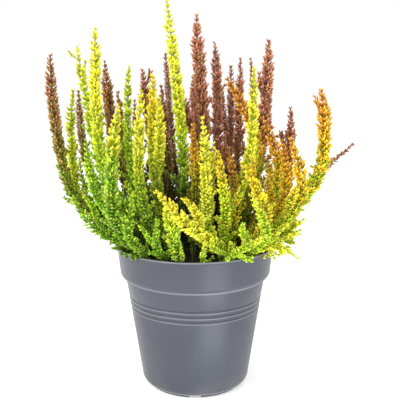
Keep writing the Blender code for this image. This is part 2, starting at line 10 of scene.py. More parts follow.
import bmesh
import bpy
import numpy as np
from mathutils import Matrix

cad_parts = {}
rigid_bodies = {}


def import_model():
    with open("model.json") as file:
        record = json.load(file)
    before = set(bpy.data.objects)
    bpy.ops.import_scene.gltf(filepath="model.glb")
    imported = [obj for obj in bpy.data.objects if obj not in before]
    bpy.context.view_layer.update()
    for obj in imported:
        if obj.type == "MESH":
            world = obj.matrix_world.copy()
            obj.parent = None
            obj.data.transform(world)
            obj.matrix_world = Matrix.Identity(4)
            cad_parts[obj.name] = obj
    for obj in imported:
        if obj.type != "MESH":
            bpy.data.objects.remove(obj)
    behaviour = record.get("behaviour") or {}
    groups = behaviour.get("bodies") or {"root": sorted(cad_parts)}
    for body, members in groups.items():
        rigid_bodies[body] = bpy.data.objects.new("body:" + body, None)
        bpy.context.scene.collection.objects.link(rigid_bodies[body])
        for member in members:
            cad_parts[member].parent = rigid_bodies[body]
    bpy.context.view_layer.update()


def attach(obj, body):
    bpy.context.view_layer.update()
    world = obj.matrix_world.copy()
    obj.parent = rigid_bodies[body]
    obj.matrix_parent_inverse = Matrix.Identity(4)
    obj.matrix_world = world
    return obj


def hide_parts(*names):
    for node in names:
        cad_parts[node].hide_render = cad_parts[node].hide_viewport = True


MM = 0.001
BODY = "root"
BLACK = (0.0, 0.0, 0.0, 1.0)
WHITE = (1.0, 1.0, 1.0, 1.0)

# The pot, as in the part's source, turned finer
POT_STEPS = 180
POT_HEIGHT = 118.5
WALL = 1.5
LIP_RADIUS = 65.2
LIP_HEIGHT = 2.4
LIP_ROUND = 0.6
LIP_INNER_ROUND = 0.8
LIP_UNDERCUT = (0.3, 0.5)
LIP_POINTS = 6
UNDERCUT_ARC = (-20, -80)
UNDERCUT_POINTS = 4
RIM_TOP_RADIUS = 64.8
RIM_LOW_RADIUS = 63.0
RIM_LOW = 98.0
RIM_ARC = (0, -84)
RIM_POINTS = 16
SHOULDER = 92.4
SHOULDER_ROUND = 0.8
SHOULDER_OUT = 0.9
SHOULDER_DROP = 0.6
SHOULDER_ARC = (110, 184)
SHOULDER_POINTS = 5
BODY_RADIUS_AT_ZERO = 44.2
BODY_TAPER = 0.153
BODY_FOOT = 8.8
INNER_FOOT_RISE = 1.0
INNER_CORNER_EASE = 0.4
GROOVE_HEIGHTS = (76.6, 72.2, 67.8)
GROOVE_PITCH = 4.4
GROOVE_WIDTH = 2.6
GROOVE_DEPTH = 0.7
GROOVE_POINTS = 9
FLOOR_UNDERSIDE = 2.0
FLOOR_TOP = 3.6
CORNER_RADIUS = 40.8
CORNER_POINTS = 12
FOOT_OUTER = 40.2
FOOT_INNER = 38.2
FOOT_EDGE = 0.3
FOOT_DRAFT = 0.05
PAD_RADIUS = 13.0
PAD_DRAFT = 0.4
NOTCHES = 6
NOTCH_WIDTH = 9.6
NOTCH_TOP = 1.8
NOTCH_CUT = 8.0
DRAIN_RING = 26.0
DRAIN_RADIUS = 4.0
DRAIN_CUT = 4.0
DRAIN_DROP = 0.8
DRAIN_SIDES = 32
SHARP_EDGE = math.radians(42.0)

# The pot's finish: colours given to 255, the reach of each pattern that shows, heights on the pot,
# and the share that each mark shows
PLASTIC = (64, 68, 79)
PALER_PLASTIC = (70, 74, 85)
FLOW_LINE = (96, 98, 106)
# Painted shade in the pot's grooves
GROOVE_SHADE = (52, 54, 64)
# Pale grey of the painted highlights
HIGHLIGHT_GREY = (168, 170, 178)
DUST = (140, 137, 130)
FOOT_SHADOW = (36, 37, 42)
SATIN_ROUGHNESS = 0.36
CLOUD_ROUGHNESS = 0.14
FLOW_ROUGHNESS = 0.1
DUST_ROUGHNESS = 0.3
PALER_CLOUDS = (0.35, 0.7)
DUSTY_CLOUDS = (0.4, 0.7)
FLOW_STREAKS = (0.55, 0.8)
FLOW_SCALE = (420.0, 420.0, 9.0)
FLOW_SHOWN = 0.12
GROOVE_SHADE_SHOWN = 0.45
# Painted highlight: a pale line just under each groove
GROOVE_HIGHLIGHT = 0.30
GROOVE_HIGHLIGHT_FROM = 0.6
GROOVE_HIGHLIGHT_PHASE = 1.9
GROOVES_EASE = 0.4
# Painted highlight bands: a glint along the shoulder, a pale line along the lip (partly wear too) and a lit
# line above the foot
HIGHLIGHT_BANDS = ((91.0, 94.0), (117.2, 119.0), (1.9, 4.4))
HIGHLIGHT_EASE = 0.6
HIGHLIGHT_SHOWN = 0.42
# Painted highlight: a pale line low on the pot, above its dark foot
FOOT_HIGHLIGHT_LINE = (2.4, 3.4)
FOOT_HIGHLIGHT_SHOWN = 0.25
FOOT_SHADOW_TOP = (1.3, 1.9)
FOOT_SHADOW_SHOWN = 0.8
DUST_TOP = 20.0
DUST_SHOWN = 0.3

# The compost, its uneven bed and the crumbs on it
GAP = 0.3
SOIL_TOP = 108.5
BED_RINGS = 46
BED_STEPS = 120
BED_SWELL = 0.9
BED_ROUGHNESS = 0.45
BED_SINK = 0.6
CRUMBS_A_SQUARE_METRE = 220000.0
CRUMB_SEED = 3
CRUMB_SIZE = 1.1
CRUMB_SHARES = ((0.35, 1.0), (0.5, 1.25))
CRUMB_LUMPS = 0.35
CRUMB_RIDGES = 0.15
CRUMB_LEAST = 0.8
CRUMB_FLATNESS = 0.7
CRUMB_TUMBLE = 0.9
LEAST_UPWARD = 0.6
SLIVER_LENGTH = 2.2
SLIVER_RARITY = 8.0
PEAT = (20, 18, 18)
DRIER_PEAT = (44, 36, 30)
FIBRE = (84, 66, 48)
STRAW = (150, 122, 84)
MOSS = (62, 82, 26)
DRIER_CLODS = (0.3, 0.7)
FIBRE_SHADES = (0.7, 0.9)
STRAW_SHADES = (0.95, 0.97)
MOSSY = (0.56, 0.7)
FIBRES_SHOWN = 0.7
MOSS_SHOWN = 0.6

# Where the listed points of the stems are seen from, a little from above
EYE_X = 4.0
EYE_BACK = 510.0
EYE_HEIGHT = 237.0
EYE_PITCH = math.radians(9.1)

# The stems' routes, settled as in the part's source
STEM_RADIUS = 1.4
STEM_TIP_RADIUS = 0.8
ROUTE_STEP = 6.0
RISE_FROM_ROOT = 0.45
MIDDLE_LEAN = 0.2
SIDE_LEAVE = 1.3
SIDE_BACK = 0.3
BARE_STEM = 7.0
FULL_HEIGHT = 16.0
TIP_TAPER = 24.0
TIP_SHARE = 0.5
TIP_REACH = 1.8
CLEARANCE = 0.9
RIM_CLEARANCE = 1.8
SETTLE_ROUNDS = 200
PAIR_ROUNDS = 20
PAIR_MARGIN = 6.0
SHOVE = 0.6
TIP_EASE = 0.3
ROOT_FROM_WALL = 5.5
ROOT_LIFT = 1.0
NEEDLED = 0.3
HOME_ROUNDS = 150
HOME_PULL = 0.04
SIDE_BARE = 5.0
SIDE_REACH = 0.85
FORK_LENGTH = 17.0
LONG_STEM = 95.0
LOW_SHARES = (0.24, 0.34, 0.44)
LOW_ALONG = 14.0
LOW_UP = 21.0
LOW_ASIDE = 15.0
LOW_TURN = 70.0

# Leaf colours, as red, green and blue from 0 to 255
PALETTE = {
    "fern": (86, 136, 34),
    "grass": (142, 190, 36),
    "lime": (196, 228, 40),
    "lemon": (240, 238, 60),
    "olive": (144, 136, 46),
    "gold": (240, 216, 36),
    "amber": (240, 190, 38),
    "tangerine": (226, 152, 48),
    "copper": (204, 130, 60),
    "cocoa": (176, 130, 82),
    "brick": (184, 120, 90),
    "rose": (210, 144, 120),
    "mauve": (186, 142, 122),
}

# What each tint darkens to as painted shade inside the spike, as shares of its colour, what its
# shoots' ends pale to (their own paler tips with a painted highlight), the colour of odd shoots
# and the share that keep their own, and how far down from its tip a stem is loosely leaved
TINTS = {
    "lime": ((0.34, 0.42, 0.08), (250, 252, 160), (224, 206, 44), 0.86, 75.0),
    "yellow": ((0.40, 0.44, 0.08), (253, 252, 166), (240, 200, 48), 0.84, 45.0),
    "green": ((0.26, 0.36, 0.08), (216, 244, 110), (176, 196, 60), 0.60, 55.0),
    "amber": ((0.34, 0.32, 0.08), (250, 236, 120), (226, 160, 40), 0.70, 30.0),
    "orange": ((0.34, 0.26, 0.08), (248, 214, 130), (246, 200, 66), 0.60, 35.0),
    "bronze": ((0.24, 0.18, 0.14), (206, 160, 116), (170, 150, 62), 0.40, 35.0),
    "maroon": ((0.26, 0.18, 0.15), (222, 166, 146), (196, 154, 84), 0.50, 30.0),
}

# Each leafy stem: tint, root on the compost, a point half-way, its tip, how far its needles
# reach from its middle, its side shoots, each with where it leaves the stem and its tip, and
# its leaf colours from its foot to its tip
SHOOTS = [
    ("bronze", (-50, -4), (-103, -6, 173), (-116, -8, 275), 5.2, (), "grass grass olive cocoa brick"),
    ("lime", (-42, 8), (-80, 10, 192), (-98, 10, 283), 4.8,
     ((0.86, (-92, 14, 272)), (0.93, (-106, 8, 281))), "grass lime lemon"),
    ("yellow", (-40, -12), (-75, -16, 200), (-79, -12, 297), 5.2, (), "grass lime lemon lemon"),
    ("green", (-51, 8), (-100, 14, 166), (-102, 16, 248), 4.6, ((0.34, (-93, 6, 160)),), "lime lemon lemon"),
    ("bronze", (-44, 20), (-96, 44, 182), (-104, 48, 247), 4.4, (), "fern olive cocoa"),
    ("bronze", (-33, 17), (-70, 42, 196), (-81, 50, 272), 5.6, (), "fern cocoa brick"),
    ("bronze", (-25, 10), (-62, 34, 189), (-68, 40, 246), 4.4, (), "fern lime copper"),
    ("green", (-34, 2), (-56, 12, 202), (-55, 13, 266), 4.4, (), "grass lime lemon"),
    ("yellow", (-46, -30), (-64, -46, 160), (-56, -50, 234), 5.6, ((0.34, (-68, -50, 186)),),
     "grass grass lemon"),
    ("yellow", (-31, -21), (-43, -27, 182), (-41, -26, 247), 4.8, (), "grass lime lemon lemon"),
    ("yellow", (-22, -14), (-30, -18, 189), (-33, -16, 258), 5.6, ((0.44, (-28, -30, 240)),),
     "lime lime lemon gold"),
    ("green", (-44, -20), (-79, -26, 169), (-84, -26, 208), 4.6, (), "grass grass lime"),
    ("green", (-52, 18), (-92, 28, 149), (-100, 32, 188), 4.2, (), "fern grass lime"),
    ("green", (-48, -16), (-82, -22, 139), (-97, -20, 162), 4.8, ((0.50, (-86, -27, 164)),),
     "grass grass lime"),
    ("green", (-30, -8), (-49, -4, 165), (-52, -2, 203), 4.2, (), "fern grass lime"),
    ("green", (-34, -43), (-48, -58, 140), (-44, -60, 170), 4.4, (), "grass grass lime"),
    ("green", (-22, -46), (-31, -62, 135), (-29, -63, 153), 4.0, ((0.40, (-39, -67, 147)),),
     "grass grass lime"),
    ("yellow", (-9, -49), (-15, -57, 136), (-22, -50, 166), 5.6, (), "grass lime lemon"),
    ("lime", (-8, -6), (-11, 0, 212), (-23, -2, 318), 5.2, (), "fern lime lemon lemon"),
    ("orange", (26, 2), (51, 5, 205), (25, 4, 257), 5.4, (), "grass lime amber copper"),
    ("lime", (20, -12), (44, -24, 208), (46, -22, 264), 4.8, (), "grass lemon lemon"),
    ("orange", (38, -6), (67, -5, 187), (54, -4, 223), 5.4, ((0.48, (60, 6, 196)),),
     "grass lime gold tangerine"),
    ("orange", (50, -2), (103, -6, 190), (100, -6, 248), 6.0,
     ((0.56, (91, -10, 187)), (0.86, (96, -9, 241))),
     "lime lime gold tangerine"),
    ("orange", (46, -20), (81, -33, 174), (73, -32, 208), 5.6, (), "lime lime gold amber"),
    ("orange", (36, -16), (71, -25, 166), (67, -24, 207), 4.8, ((0.46, (60, -36, 186)),),
     "lime gold gold tangerine"),
    ("yellow", (6, -28), (10, -38, 168), (6, -36, 224), 5.0, ((0.42, (14, -30, 206)),),
     "lime lemon lemon"),
    ("amber", (20, -32), (23, -45, 162), (17, -44, 201), 4.6, (), "lime lime gold"),
    ("amber", (26, -22), (31, -28, 161), (26, -24, 203), 4.4, (), "lime gold copper"),
    ("orange", (-2, -18), (0, -15, 170), (-2, -13, 219), 4.8, (), "grass lime gold tangerine"),
    ("yellow", (29, -36), (3, -64, 149), (-26, -71, 177), 5.2, (), "lime lemon lemon gold"),
    ("lime", (43, -33), (62, -45, 124), (76, -50, 117), 4.6,
     ((0.50, (77, -42, 133)), (0.36, (71, -46, 143))), "grass lime lemon"),
    ("amber", (34, -28), (53, -48, 152), (34, -52, 192), 4.8, ((0.42, (44, -44, 196)),), "lemon lemon gold"),
    ("lime", (38, -39), (53, -54, 142), (40, -58, 171), 4.4, ((0.28, (37, -67, 150)),),
     "lime lime lemon"),
    ("lime", (20, -43), (35, -60, 126), (53, -66, 139), 4.0, ((0.30, (13, -67, 134)),),
     "lime lime lemon"),
    ("lime", (2, -52), (6, -60, 120), (8, -66, 134), 3.6, (), "grass lime lemon"),
    ("lime", (53, -15), (76, -15, 134), (83, -13, 158), 5.2,
     ((0.44, (85, -20, 141)), (0.30, (82, -27, 131))),
     "lime lemon lemon"),
    ("maroon", (50, 14), (91, 13, 165), (131, 10, 201), 3.6, (), "fern mauve rose"),
    ("maroon", (-22, 28), (-37, 48, 195), (-48, 54, 266), 5.8, ((0.88, (-41, 56, 266)),),
     "fern olive brick"),
    ("maroon", (-12, 18), (-25, 36, 194), (-30, 38, 251), 4.6, (), "fern olive brick"),
    ("maroon", (-8, 34), (-21, 60, 199), (-28, 68, 283), 3.8, (), "fern cocoa mauve"),
    ("maroon", (4, 24), (4, 20, 210), (1, 22, 311), 6.0, ((0.44, (-13, 14, 253)),),
     "fern brick rose"),
    ("maroon", (14, 18), (20, 34, 199), (17, 36, 289), 5.0, ((0.60, (10, 30, 227)),), "olive rose rose"),
    ("maroon", (20, 28), (30, 50, 194), (32, 58, 270), 4.2, ((0.55, (24, 46, 250)),), "olive rose mauve"),
    ("maroon", (30, 20), (37, 40, 199), (40, 46, 276), 4.4, (), "olive brick rose"),
    ("maroon", (24, 40), (54, 72, 198), (52, 84, 277), 3.8, (), "olive cocoa mauve"),
    ("maroon", (38, 12), (56, 16, 212), (61, 15, 290), 5.6, ((0.70, (54, 10, 260)),),
     "gold brick rose"),
    ("maroon", (42, 24), (81, 30, 192), (82, 36, 232), 5.0, ((0.66, (76, 38, 212)),),
     "grass copper rose"),
    ("maroon", (-32, 34), (-51, 66, 180), (-58, 84, 237), 4.6, (), "fern olive brick"),
    ("maroon", (-18, 44), (-29, 76, 170), (-34, 102, 224), 4.8, (), "fern cocoa brick"),
    ("maroon", (2, 42), (1, 68, 188), (-3, 86, 262), 5.0, (), "fern brick rose"),
    ("maroon", (12, 50), (24, 82, 166), (32, 106, 212), 4.6, (), "fern cocoa brick"),
    ("maroon", (34, 36), (58, 64, 178), (70, 84, 238), 4.8, (), "fern brick rose"),
    ("orange", (43, 33), (80, 50, 158), (90, 62, 194), 4.8, (), "grass lime gold tangerine"),
    ("green", (-44, 32), (-80, 50, 160), (-92, 66, 216), 4.6, (), "fern grass lime"),
    ("maroon", (-6, 53), (-12, 78, 135), (-14, 98, 166), 4.2, (), "fern olive brick"),
    ("amber", (25, 48), (46, 76, 138), (58, 94, 172), 4.2, (), "fern lime gold"),
    ("lime", (-30, 45), (-56, 68, 135), (-70, 88, 168), 4.4, (), "fern grass lime"),
]


class Wire:
    """An output socket in an expression. Arithmetic on it adds Math nodes to its tree."""

    def __init__(self, web, socket):
        self.web = web
        self.socket = socket

    def math(self, operation, *others):
        return self.web.wire("ShaderNodeMath", {"operation": operation},
                             dict(enumerate((self, *others))))

    def __add__(self, other):
        return self.math("ADD", other)

    def __sub__(self, other):
        return self.math("SUBTRACT", other)

    def __mul__(self, other):
        return self.math("MULTIPLY", other)

    def __truediv__(self, other):
        return self.math("DIVIDE", other)

    def __rsub__(self, other):
        return self.web.wire("ShaderNodeMath", {"operation": "SUBTRACT"}, {0: other, 1: self})

    __radd__ = __add__
    __rmul__ = __mul__


class Web:
    """A node tree that is written as expressions on its wires."""

    def __init__(self, tree):
        self.tree = tree

    def node(self, kind, settings=None, values=None):
        """A node of a type, its settings first, then the values or links of its sockets."""
        node = self.tree.nodes.new(kind)
        for name, value in (settings or {}).items():
            if name == "stops":
                self.set_stops(node.color_ramp, value)
            else:
                setattr(node, name, value)
        for key, value in (values or {}).items():
            if isinstance(key, int):
                socket = node.inputs[key]
            else:
                socket = next(s for s in node.inputs if s.enabled and s.name == key)
            if isinstance(value, Wire):
                self.tree.links.new(value.socket, socket)
            else:
                socket.default_value = value
        return node

    def wire(self, kind, settings=None, values=None, out=None):
        """The named output of a new node, or its first one."""
        node = self.node(kind, settings, values)
        return Wire(self, next(s for s in node.outputs if s.enabled and out in (None, s.name)))

    @staticmethod
    def set_stops(ramp, stops):
        while len(ramp.elements) < len(stops):
            ramp.elements.new(1.0)
        for element, (place, colour) in zip(ramp.elements, stops):
            element.position = place
            element.color = colour

    def mix(self, factor, first, second, blend="MIX"):
        """Two colours, or a colour and its blend with another."""
        return self.wire("ShaderNodeMix", {"data_type": "RGBA", "blend_type": blend},
                         {"Factor": factor, "A": first, "B": second})

    def between(self, value, low, high):
        """0 below low, 1 above high, and smooth between them."""
        return self.wire("ShaderNodeMapRange", {"interpolation_type": "SMOOTHSTEP"},
                         {"Value": value, "From Min": low, "From Max": high})


class Growth(Web):
    """A Geometry Nodes tree with named inputs, a seed among them."""

    def __init__(self, name, sockets, result):
        super().__init__(bpy.data.node_groups.new(name, "GeometryNodeTree"))
        face = self.tree.interface
        self.inputs = {key: face.new_socket(name=key, socket_type="NodeSocket" + kind).identifier
                       for key, kind in sockets.items()}
        face.new_socket(name=result, in_out="OUTPUT", socket_type="NodeSocketGeometry")
        given = self.node("NodeGroupInput").outputs
        self.given = {socket.name: Wire(self, socket) for socket in given if socket.name}

    def field(self, name):
        """A number that the geometry carries."""
        return self.wire("GeometryNodeInputNamedAttribute", {"data_type": "FLOAT"}, {"Name": name})

    def draw(self, salt, low=0.0, high=1.0):
        """A random number between low and high. Every draw of a tree has its own salt."""
        return self.wire("FunctionNodeRandomValue", {"data_type": "FLOAT"},
                         {"Min": low, "Max": high, "Seed": self.given["Seed"] + salt})

    def vector(self, **axes):
        return self.wire("ShaderNodeCombineXYZ", None, axes)

    def is_above(self, value, least):
        return self.wire("FunctionNodeCompare", {"data_type": "FLOAT", "operation": "GREATER_THAN"},
                         {"A": value, "B": least})

    def store(self, geometry, domain, name, value):
        """The same geometry with a named number on each of its points or instances."""
        return self.wire("GeometryNodeStoreNamedAttribute", {"data_type": "FLOAT", "domain": domain},
                         {"Geometry": geometry, "Name": name, "Value": value})

    def copies(self, source, points, values):
        """Instances of an object on points."""
        shape = self.wire("GeometryNodeObjectInfo", None, {"Object": source}, "Geometry")
        return self.wire("GeometryNodeInstanceOnPoints", None,
                         {"Points": points, "Instance": shape, **values})

    def finish(self, material, *pieces):
        """Join the pieces, make the instances real and set the material."""
        both = self.node("GeometryNodeJoinGeometry")
        for piece in pieces:
            self.tree.links.new(piece.socket, both.inputs[0])
        plain = self.wire("GeometryNodeRealizeInstances", None, {"Geometry": Wire(self, both.outputs[0])})
        done = self.wire("GeometryNodeSetMaterial", None, {"Geometry": plain, "Material": material})
        self.node("NodeGroupOutput", None, {0: done})

    def grow(self, obj, values):
        """Run the tree on an object with these inputs, and keep what it makes as a plain mesh."""
        modifier = obj.modifiers.new(self.tree.name, "NODES")
        modifier.node_group = self.tree
        for key, value in values.items():
            modifier[self.inputs[key]] = value
        settle_mesh(obj)


class Finish(Web):
    """A new material's node tree, its patterns on Object coordinates."""

    def __init__(self, name):
        self.material = bpy.data.materials.new(name)
        self.material.use_nodes = True
        super().__init__(self.material.node_tree)
        self.tree.nodes.clear()
        self.place = self.wire("ShaderNodeTexCoord", None, None, "Object")

    def field(self, name):
        """A number that the mesh carries."""
        return self.wire("ShaderNodeAttribute", {"attribute_name": name}, None, "Fac")

    def noise(self, scale, detail, place=None):
        return self.wire("ShaderNodeTexNoise", None,
                         {"Vector": place or self.place, "Scale": scale, "Detail": detail}, "Fac")

    def axes(self):
        """The object's X, Y and Z, in metres."""
        node = self.node("ShaderNodeSeparateXYZ", None, {0: self.place})
        return [Wire(self, socket) for socket in node.outputs]

    def paint(self, colour, *layers):
        """A colour with others over it, each as how much of it shows and its red, green and blue."""
        for shown, rgb in layers:
            colour = self.mix(shown, colour, linear(rgb))
        return colour

    def surface(self, colour, rough, specular, bump):
        """Close the tree with its shader, and give the material."""
        normal = self.wire("ShaderNodeBump", None, bump)
        shader = self.wire("ShaderNodeBsdfPrincipled", None,
                           {"Base Color": colour, "Roughness": rough, "Normal": normal,
                            "Specular IOR Level": specular})
        self.node("ShaderNodeOutputMaterial", None, {"Surface": shader})
        return self.material


def linear(rgb):
    """A colour given as red, green and blue to 255, for a socket."""
    return (*(c / 255 / 12.92 if c <= 10 else ((c / 255 + 0.055) / 1.055) ** 2.4 for c in rgb), 1.0)


def in_scene(name, data):
    """A new object in the scene."""
    obj = bpy.data.objects.new(name, data)
    bpy.context.scene.collection.objects.link(obj)
    return obj


def object_from(name, points, faces, edges=()):
    """An object in the scene from points in millimetres."""
    mesh = bpy.data.meshes.new(name)
    mesh.from_pydata([tuple(c * MM for c in p) for p in points], edges, faces)
    mesh.update()
    return in_scene(name, mesh)


def settle_mesh(obj):
    """Make the result of an object's modifiers its own plain mesh."""
    bpy.context.view_layer.update()
    depsgraph = bpy.context.evaluated_depsgraph_get()
    plain = bpy.data.meshes.new_from_object(obj.evaluated_get(depsgraph), preserve_all_data_layers=True,
                                            depsgraph=depsgraph)
    obj.modifiers.clear()
    obj.data = plain
    plain.name = obj.name


def cubic(t, start, end, leave, arrive):
    """Points at shares t of a smooth curve between two points with given end directions."""
    return ((2 * t**3 - 3 * t**2 + 1) * start + (t**3 - 2 * t**2 + t) * leave
            + (3 * t**2 - 2 * t**3) * end + (t**3 - t**2) * arrive)


def hermite(start, end, leave, arrive, count):
    """Points evenly along such a curve, the first left out."""
    return cubic((np.arange(count) + 1.0)[:, None] / count, start, end, leave, arrive)


def unit(vector):
    """The same direction at length one."""
    return vector / np.linalg.norm(vector)


def upright(x, y, z):
    """A listed point set upright: the list has points as they look from the front, a little from above."""
    deep = y + EYE_BACK
    up = z - EYE_HEIGHT
    up *= math.cos(EYE_PITCH) / (1 + up / deep * math.sin(EYE_PITCH))
    aside = (x - EYE_X) * (1 - up / deep * math.tan(EYE_PITCH))
    return np.array((EYE_X + aside, y, EYE_HEIGHT + up))


def stem_route(root, middle, tip):
    """Points from the root up through the middle to the tip; the stem leaves the soil upright."""
    start = np.array((*root, SOIL_TOP), float)
    middle = upright(*middle)
    tip = upright(*tip)
    low = np.linalg.norm(middle - start)
    high = np.linalg.norm(tip - middle)
    through = unit(MIDDLE_LEAN * unit(middle - start) + (1 - MIDDLE_LEAN) * unit(tip - middle))
    end = 2 * unit(tip - middle) - through
    lower = hermite(start, middle, np.array((0, 0, RISE_FROM_ROOT * low)), through * low,
                    round(low / ROUTE_STEP))
    upper = hermite(middle, tip, through * high, end * high, round(high / ROUTE_STEP))
    return np.vstack([start, lower, upper])


def side_route(parent, share, tip):
    """Points of a side shoot, from inside its parent stem out and up to its own tip."""
    index = round(share * (len(parent) - 1))
    start = parent[index]
    along = unit(parent[min(index + 1, len(parent) - 1)] - parent[index - 1])
    length = np.linalg.norm(tip - start)
    leave = unit(tip - start) * SIDE_LEAVE - along * SIDE_BACK
    count = max(3, round(length / ROUTE_STEP))
    return index, np.vstack([start, hermite(start, tip, leave * length, along * length, count)])


def heights_along(route):
    """The length of a route up to each of its points."""
    return np.concatenate([[0.0], np.cumsum(np.linalg.norm(np.diff(route, axis=0), axis=1))])


def reach_along(route, reach, bare):
    """How far needles reach from each point of a route: slim at its foot and at its tip."""
    height = heights_along(route)
    grown = np.clip((height - bare) / (FULL_HEIGHT - BARE_STEM), 0, 1)
    left = np.clip((height[-1] - height) / min(TIP_TAPER, TIP_SHARE * height[-1]), 0, 1)
    at_tip = TIP_REACH / reach
    return height, STEM_RADIUS + (reach - STEM_RADIUS) * grown * (at_tip + (1 - at_tip) * left)


class Stem:
    """One stem or side shoot: its node, its route, and where it joins its parent."""

    def __init__(self, node, route, reach, bare, parent=None, joint=0):
        self.node = node
        self.planned = route
        self.shift = np.zeros_like(route)
        self.reach = reach
        self.bare = bare
        self.parent = parent
        self.joint = joint

    @property
    def route(self):
        return self.planned + self.shift


def low_side(route, turn):
    """Where a low side shoot leaves a stem, and its tip, which leans left or right of outward in turn."""
    share = LOW_SHARES[turn % len(LOW_SHARES)]
    index = round(share * (len(route) - 1))
    along = unit(route[index + 1] - route[index - 1])
    lean = math.atan2(route[index][1], route[index][0]) + math.radians(LOW_TURN) * (-1) ** turn
    aside = np.array((math.cos(lean), math.sin(lean), 0.0))
    return share, route[index] + along * LOW_ALONG + aside * LOW_ASIDE + np.array((0.0, 0.0, LOW_UP))


def plan_stems():
    """Every stem and side shoot along its planned route."""
    stems = []
    for node, (_, root, middle, tip, reach, sides, _) in enumerate(SHOOTS):
        stem = Stem(node, stem_route(root, middle, tip), reach, BARE_STEM)
        stems.append(stem)
        height = reach_along(stem.planned, reach, BARE_STEM)[0]
        if not sides and height[-1] > LONG_STEM:
            sides = (low_side(stem.planned, node),)
        else:
            sides = [(share, upright(*side_tip)) for share, side_tip in sides]
        for share, side_tip in sides:
            joint, route = side_route(stem.planned, share, side_tip)
            stems.append(Stem(node, route, reach * SIDE_REACH, SIDE_BARE, stem, joint))
    return stems


def near_pairs(points, reach, owner, node, free):
    """Pairs of points on different stems that are close enough to matter for some rounds.

    A side shoot's first stretch isn't free of its own stem, which it grows from.
    """
    square = (points**2).sum(axis=1)
    distance = np.sqrt(np.maximum(square[:, None] + square[None, :] - 2 * points @ points.T, 0))
    near = distance < reach[:, None] + reach[None, :] + CLEARANCE + PAIR_MARGIN
    near &= owner[:, None] != owner[None, :]
    near &= (node[:, None] != node[None, :]) | (free[:, None] & free[None, :])
    return np.nonzero(np.triu(near))


def settle(stems):
    """Bend the stems clear of each other, of the pot's rim and of the compost."""
    spans = np.cumsum([0] + [len(stem.planned) for stem in stems])
    owner = np.repeat(np.arange(len(stems)), np.diff(spans))
    node = np.array([stem.node for stem in stems])[owner]
    measured = [reach_along(stem.planned, stem.reach, stem.bare) for stem in stems]
    reach = np.concatenate([reaches for _, reaches in measured])
    free = np.concatenate([heights > (FORK_LENGTH if stem.parent else -1.0)
                           for stem, (heights, _) in zip(stems, measured)])
    for turn in range(SETTLE_ROUNDS):
        points = np.vstack([stem.route for stem in stems])
        if turn % PAIR_ROUNDS == 0:
            one, other = near_pairs(points, reach, owner, node, free)
        apart = points[one] - points[other]
        distance = np.linalg.norm(apart, axis=1) + 1e-6
        lack = np.clip(reach[one] + reach[other] + CLEARANCE - distance, 0, None)
        shove = apart * (lack / distance)[:, None]
        push = np.zeros_like(points)
        np.add.at(push, one, shove)
        np.add.at(push, other, -shove)
        crowd = np.bincount(one, lack > 0, len(points)) + np.bincount(other, lack > 0, len(points))
        push *= SHOVE / np.maximum(crowd, 1)[:, None]
        push += keep_clear_of_pot(points, reach)
        pull = HOME_PULL if turn < HOME_ROUNDS else 0.0
        for stem, first, last in zip(stems, spans[:-1], spans[1:]):
            ease(stem, push[first:last], pull)


def keep_clear_of_pot(points, reach):
    """Pushes that lift stems over the rim and off the compost."""
    push = np.zeros_like(points)
    radius = np.hypot(points[:, 0], points[:, 1])
    wall = LIP_RADIUS - WALL / 2
    outward = points[:, :2] / np.maximum(radius, 1e-6)[:, None]
    below = np.minimum(points[:, 2], POT_HEIGHT - WALL / 2)
    away = np.stack([radius - wall, points[:, 2] - below], axis=1)
    distance = np.maximum(np.hypot(away[:, 0], away[:, 1]), 1e-6)
    lack = np.clip(reach + WALL + RIM_CLEARANCE - distance, 0, None) * SHOVE
    away = np.where((radius > wall)[:, None], (0.0, 1.0), away / distance[:, None])
    push[:, :2] += outward * (away[:, 0] * lack)[:, None]
    push[:, 2] += away[:, 1] * lack
    sunk = np.clip(SOIL_TOP + reach + 2 * CLEARANCE - points[:, 2], 0, None)
    push[:, 2] += np.where((reach > STEM_RADIUS + NEEDLED) & (radius < wall), sunk, 0) * SHOVE
    return push


def ease(stem, push, pull):
    """Take a push up smoothly along a stem, which springs back a little to its planned line.

    Its root stays at the compost's surface.
    """
    shift = stem.shift * (1 - pull) + push
    if stem.parent:
        shift[0] = stem.parent.shift[stem.joint]
    else:
        shift[0, 2] = 0.0
        shift[1, 2] = min(shift[1, 2], ROOT_LIFT)
        root = stem.planned[0, :2] + shift[0, :2]
        limit = RIM_LOW_RADIUS - WALL - ROOT_FROM_WALL
        shift[0, :2] -= root * max(0.0, 1 - limit / np.linalg.norm(root))
    smooth = shift.copy()
    smooth[1:-1] = 0.5 * shift[1:-1] + 0.25 * (shift[:-2] + shift[2:])
    smooth[-1] = (1 - TIP_EASE) * shift[-1] + TIP_EASE * shift[-2]
    stem.shift = smooth


# The short shoots that clothe every stem, as shares of their own length, each with two side
# leaves: where on the shoot a leaf stands, and its turn
SHOOT_LEAN = 66.0
SHOOT_LEAN_AT_TIP = 28.0
SHOOT_RINGS = ((0.0, 0.05), (0.78, 0.13))
SHOOT_CORNERS = 3
SHOOT_STEPS = 40
LEAVES = ((0.30, 90.0), (0.44, -90.0))
LEAF_LEAN = math.radians(44.0)
LEAF_LENGTH = 0.46
LEAF_REACH = 0.11
LEAF_SLIMNESS = 0.8

# How the shoots stand on a stem, level by level. Towards its tip they thin out and lean closer
# to it, and stray ones low down are long
LEVEL_SPACING = 1.3
SHOOTS_A_LEVEL = 4
LEVEL_TURN = 45.0
SPIN_STRAY = 0.25
LEAN_STRAY = 0.14
TIP_LEAN = -0.45
LENGTH_SHARES = (0.82, 1.16)
LEAST_SHOOT = 3.0
LONG_SHOOT = 0.6
LONG_SHOOT_RARITY = 5.0
LOOSE_STOUTNESS = 0.3
LOOSE_SHARE = 0.6
FULL_LEVEL_EVERY = 3
SPARSE_SHARE = 0.2
SEEDS_A_STEM = 10

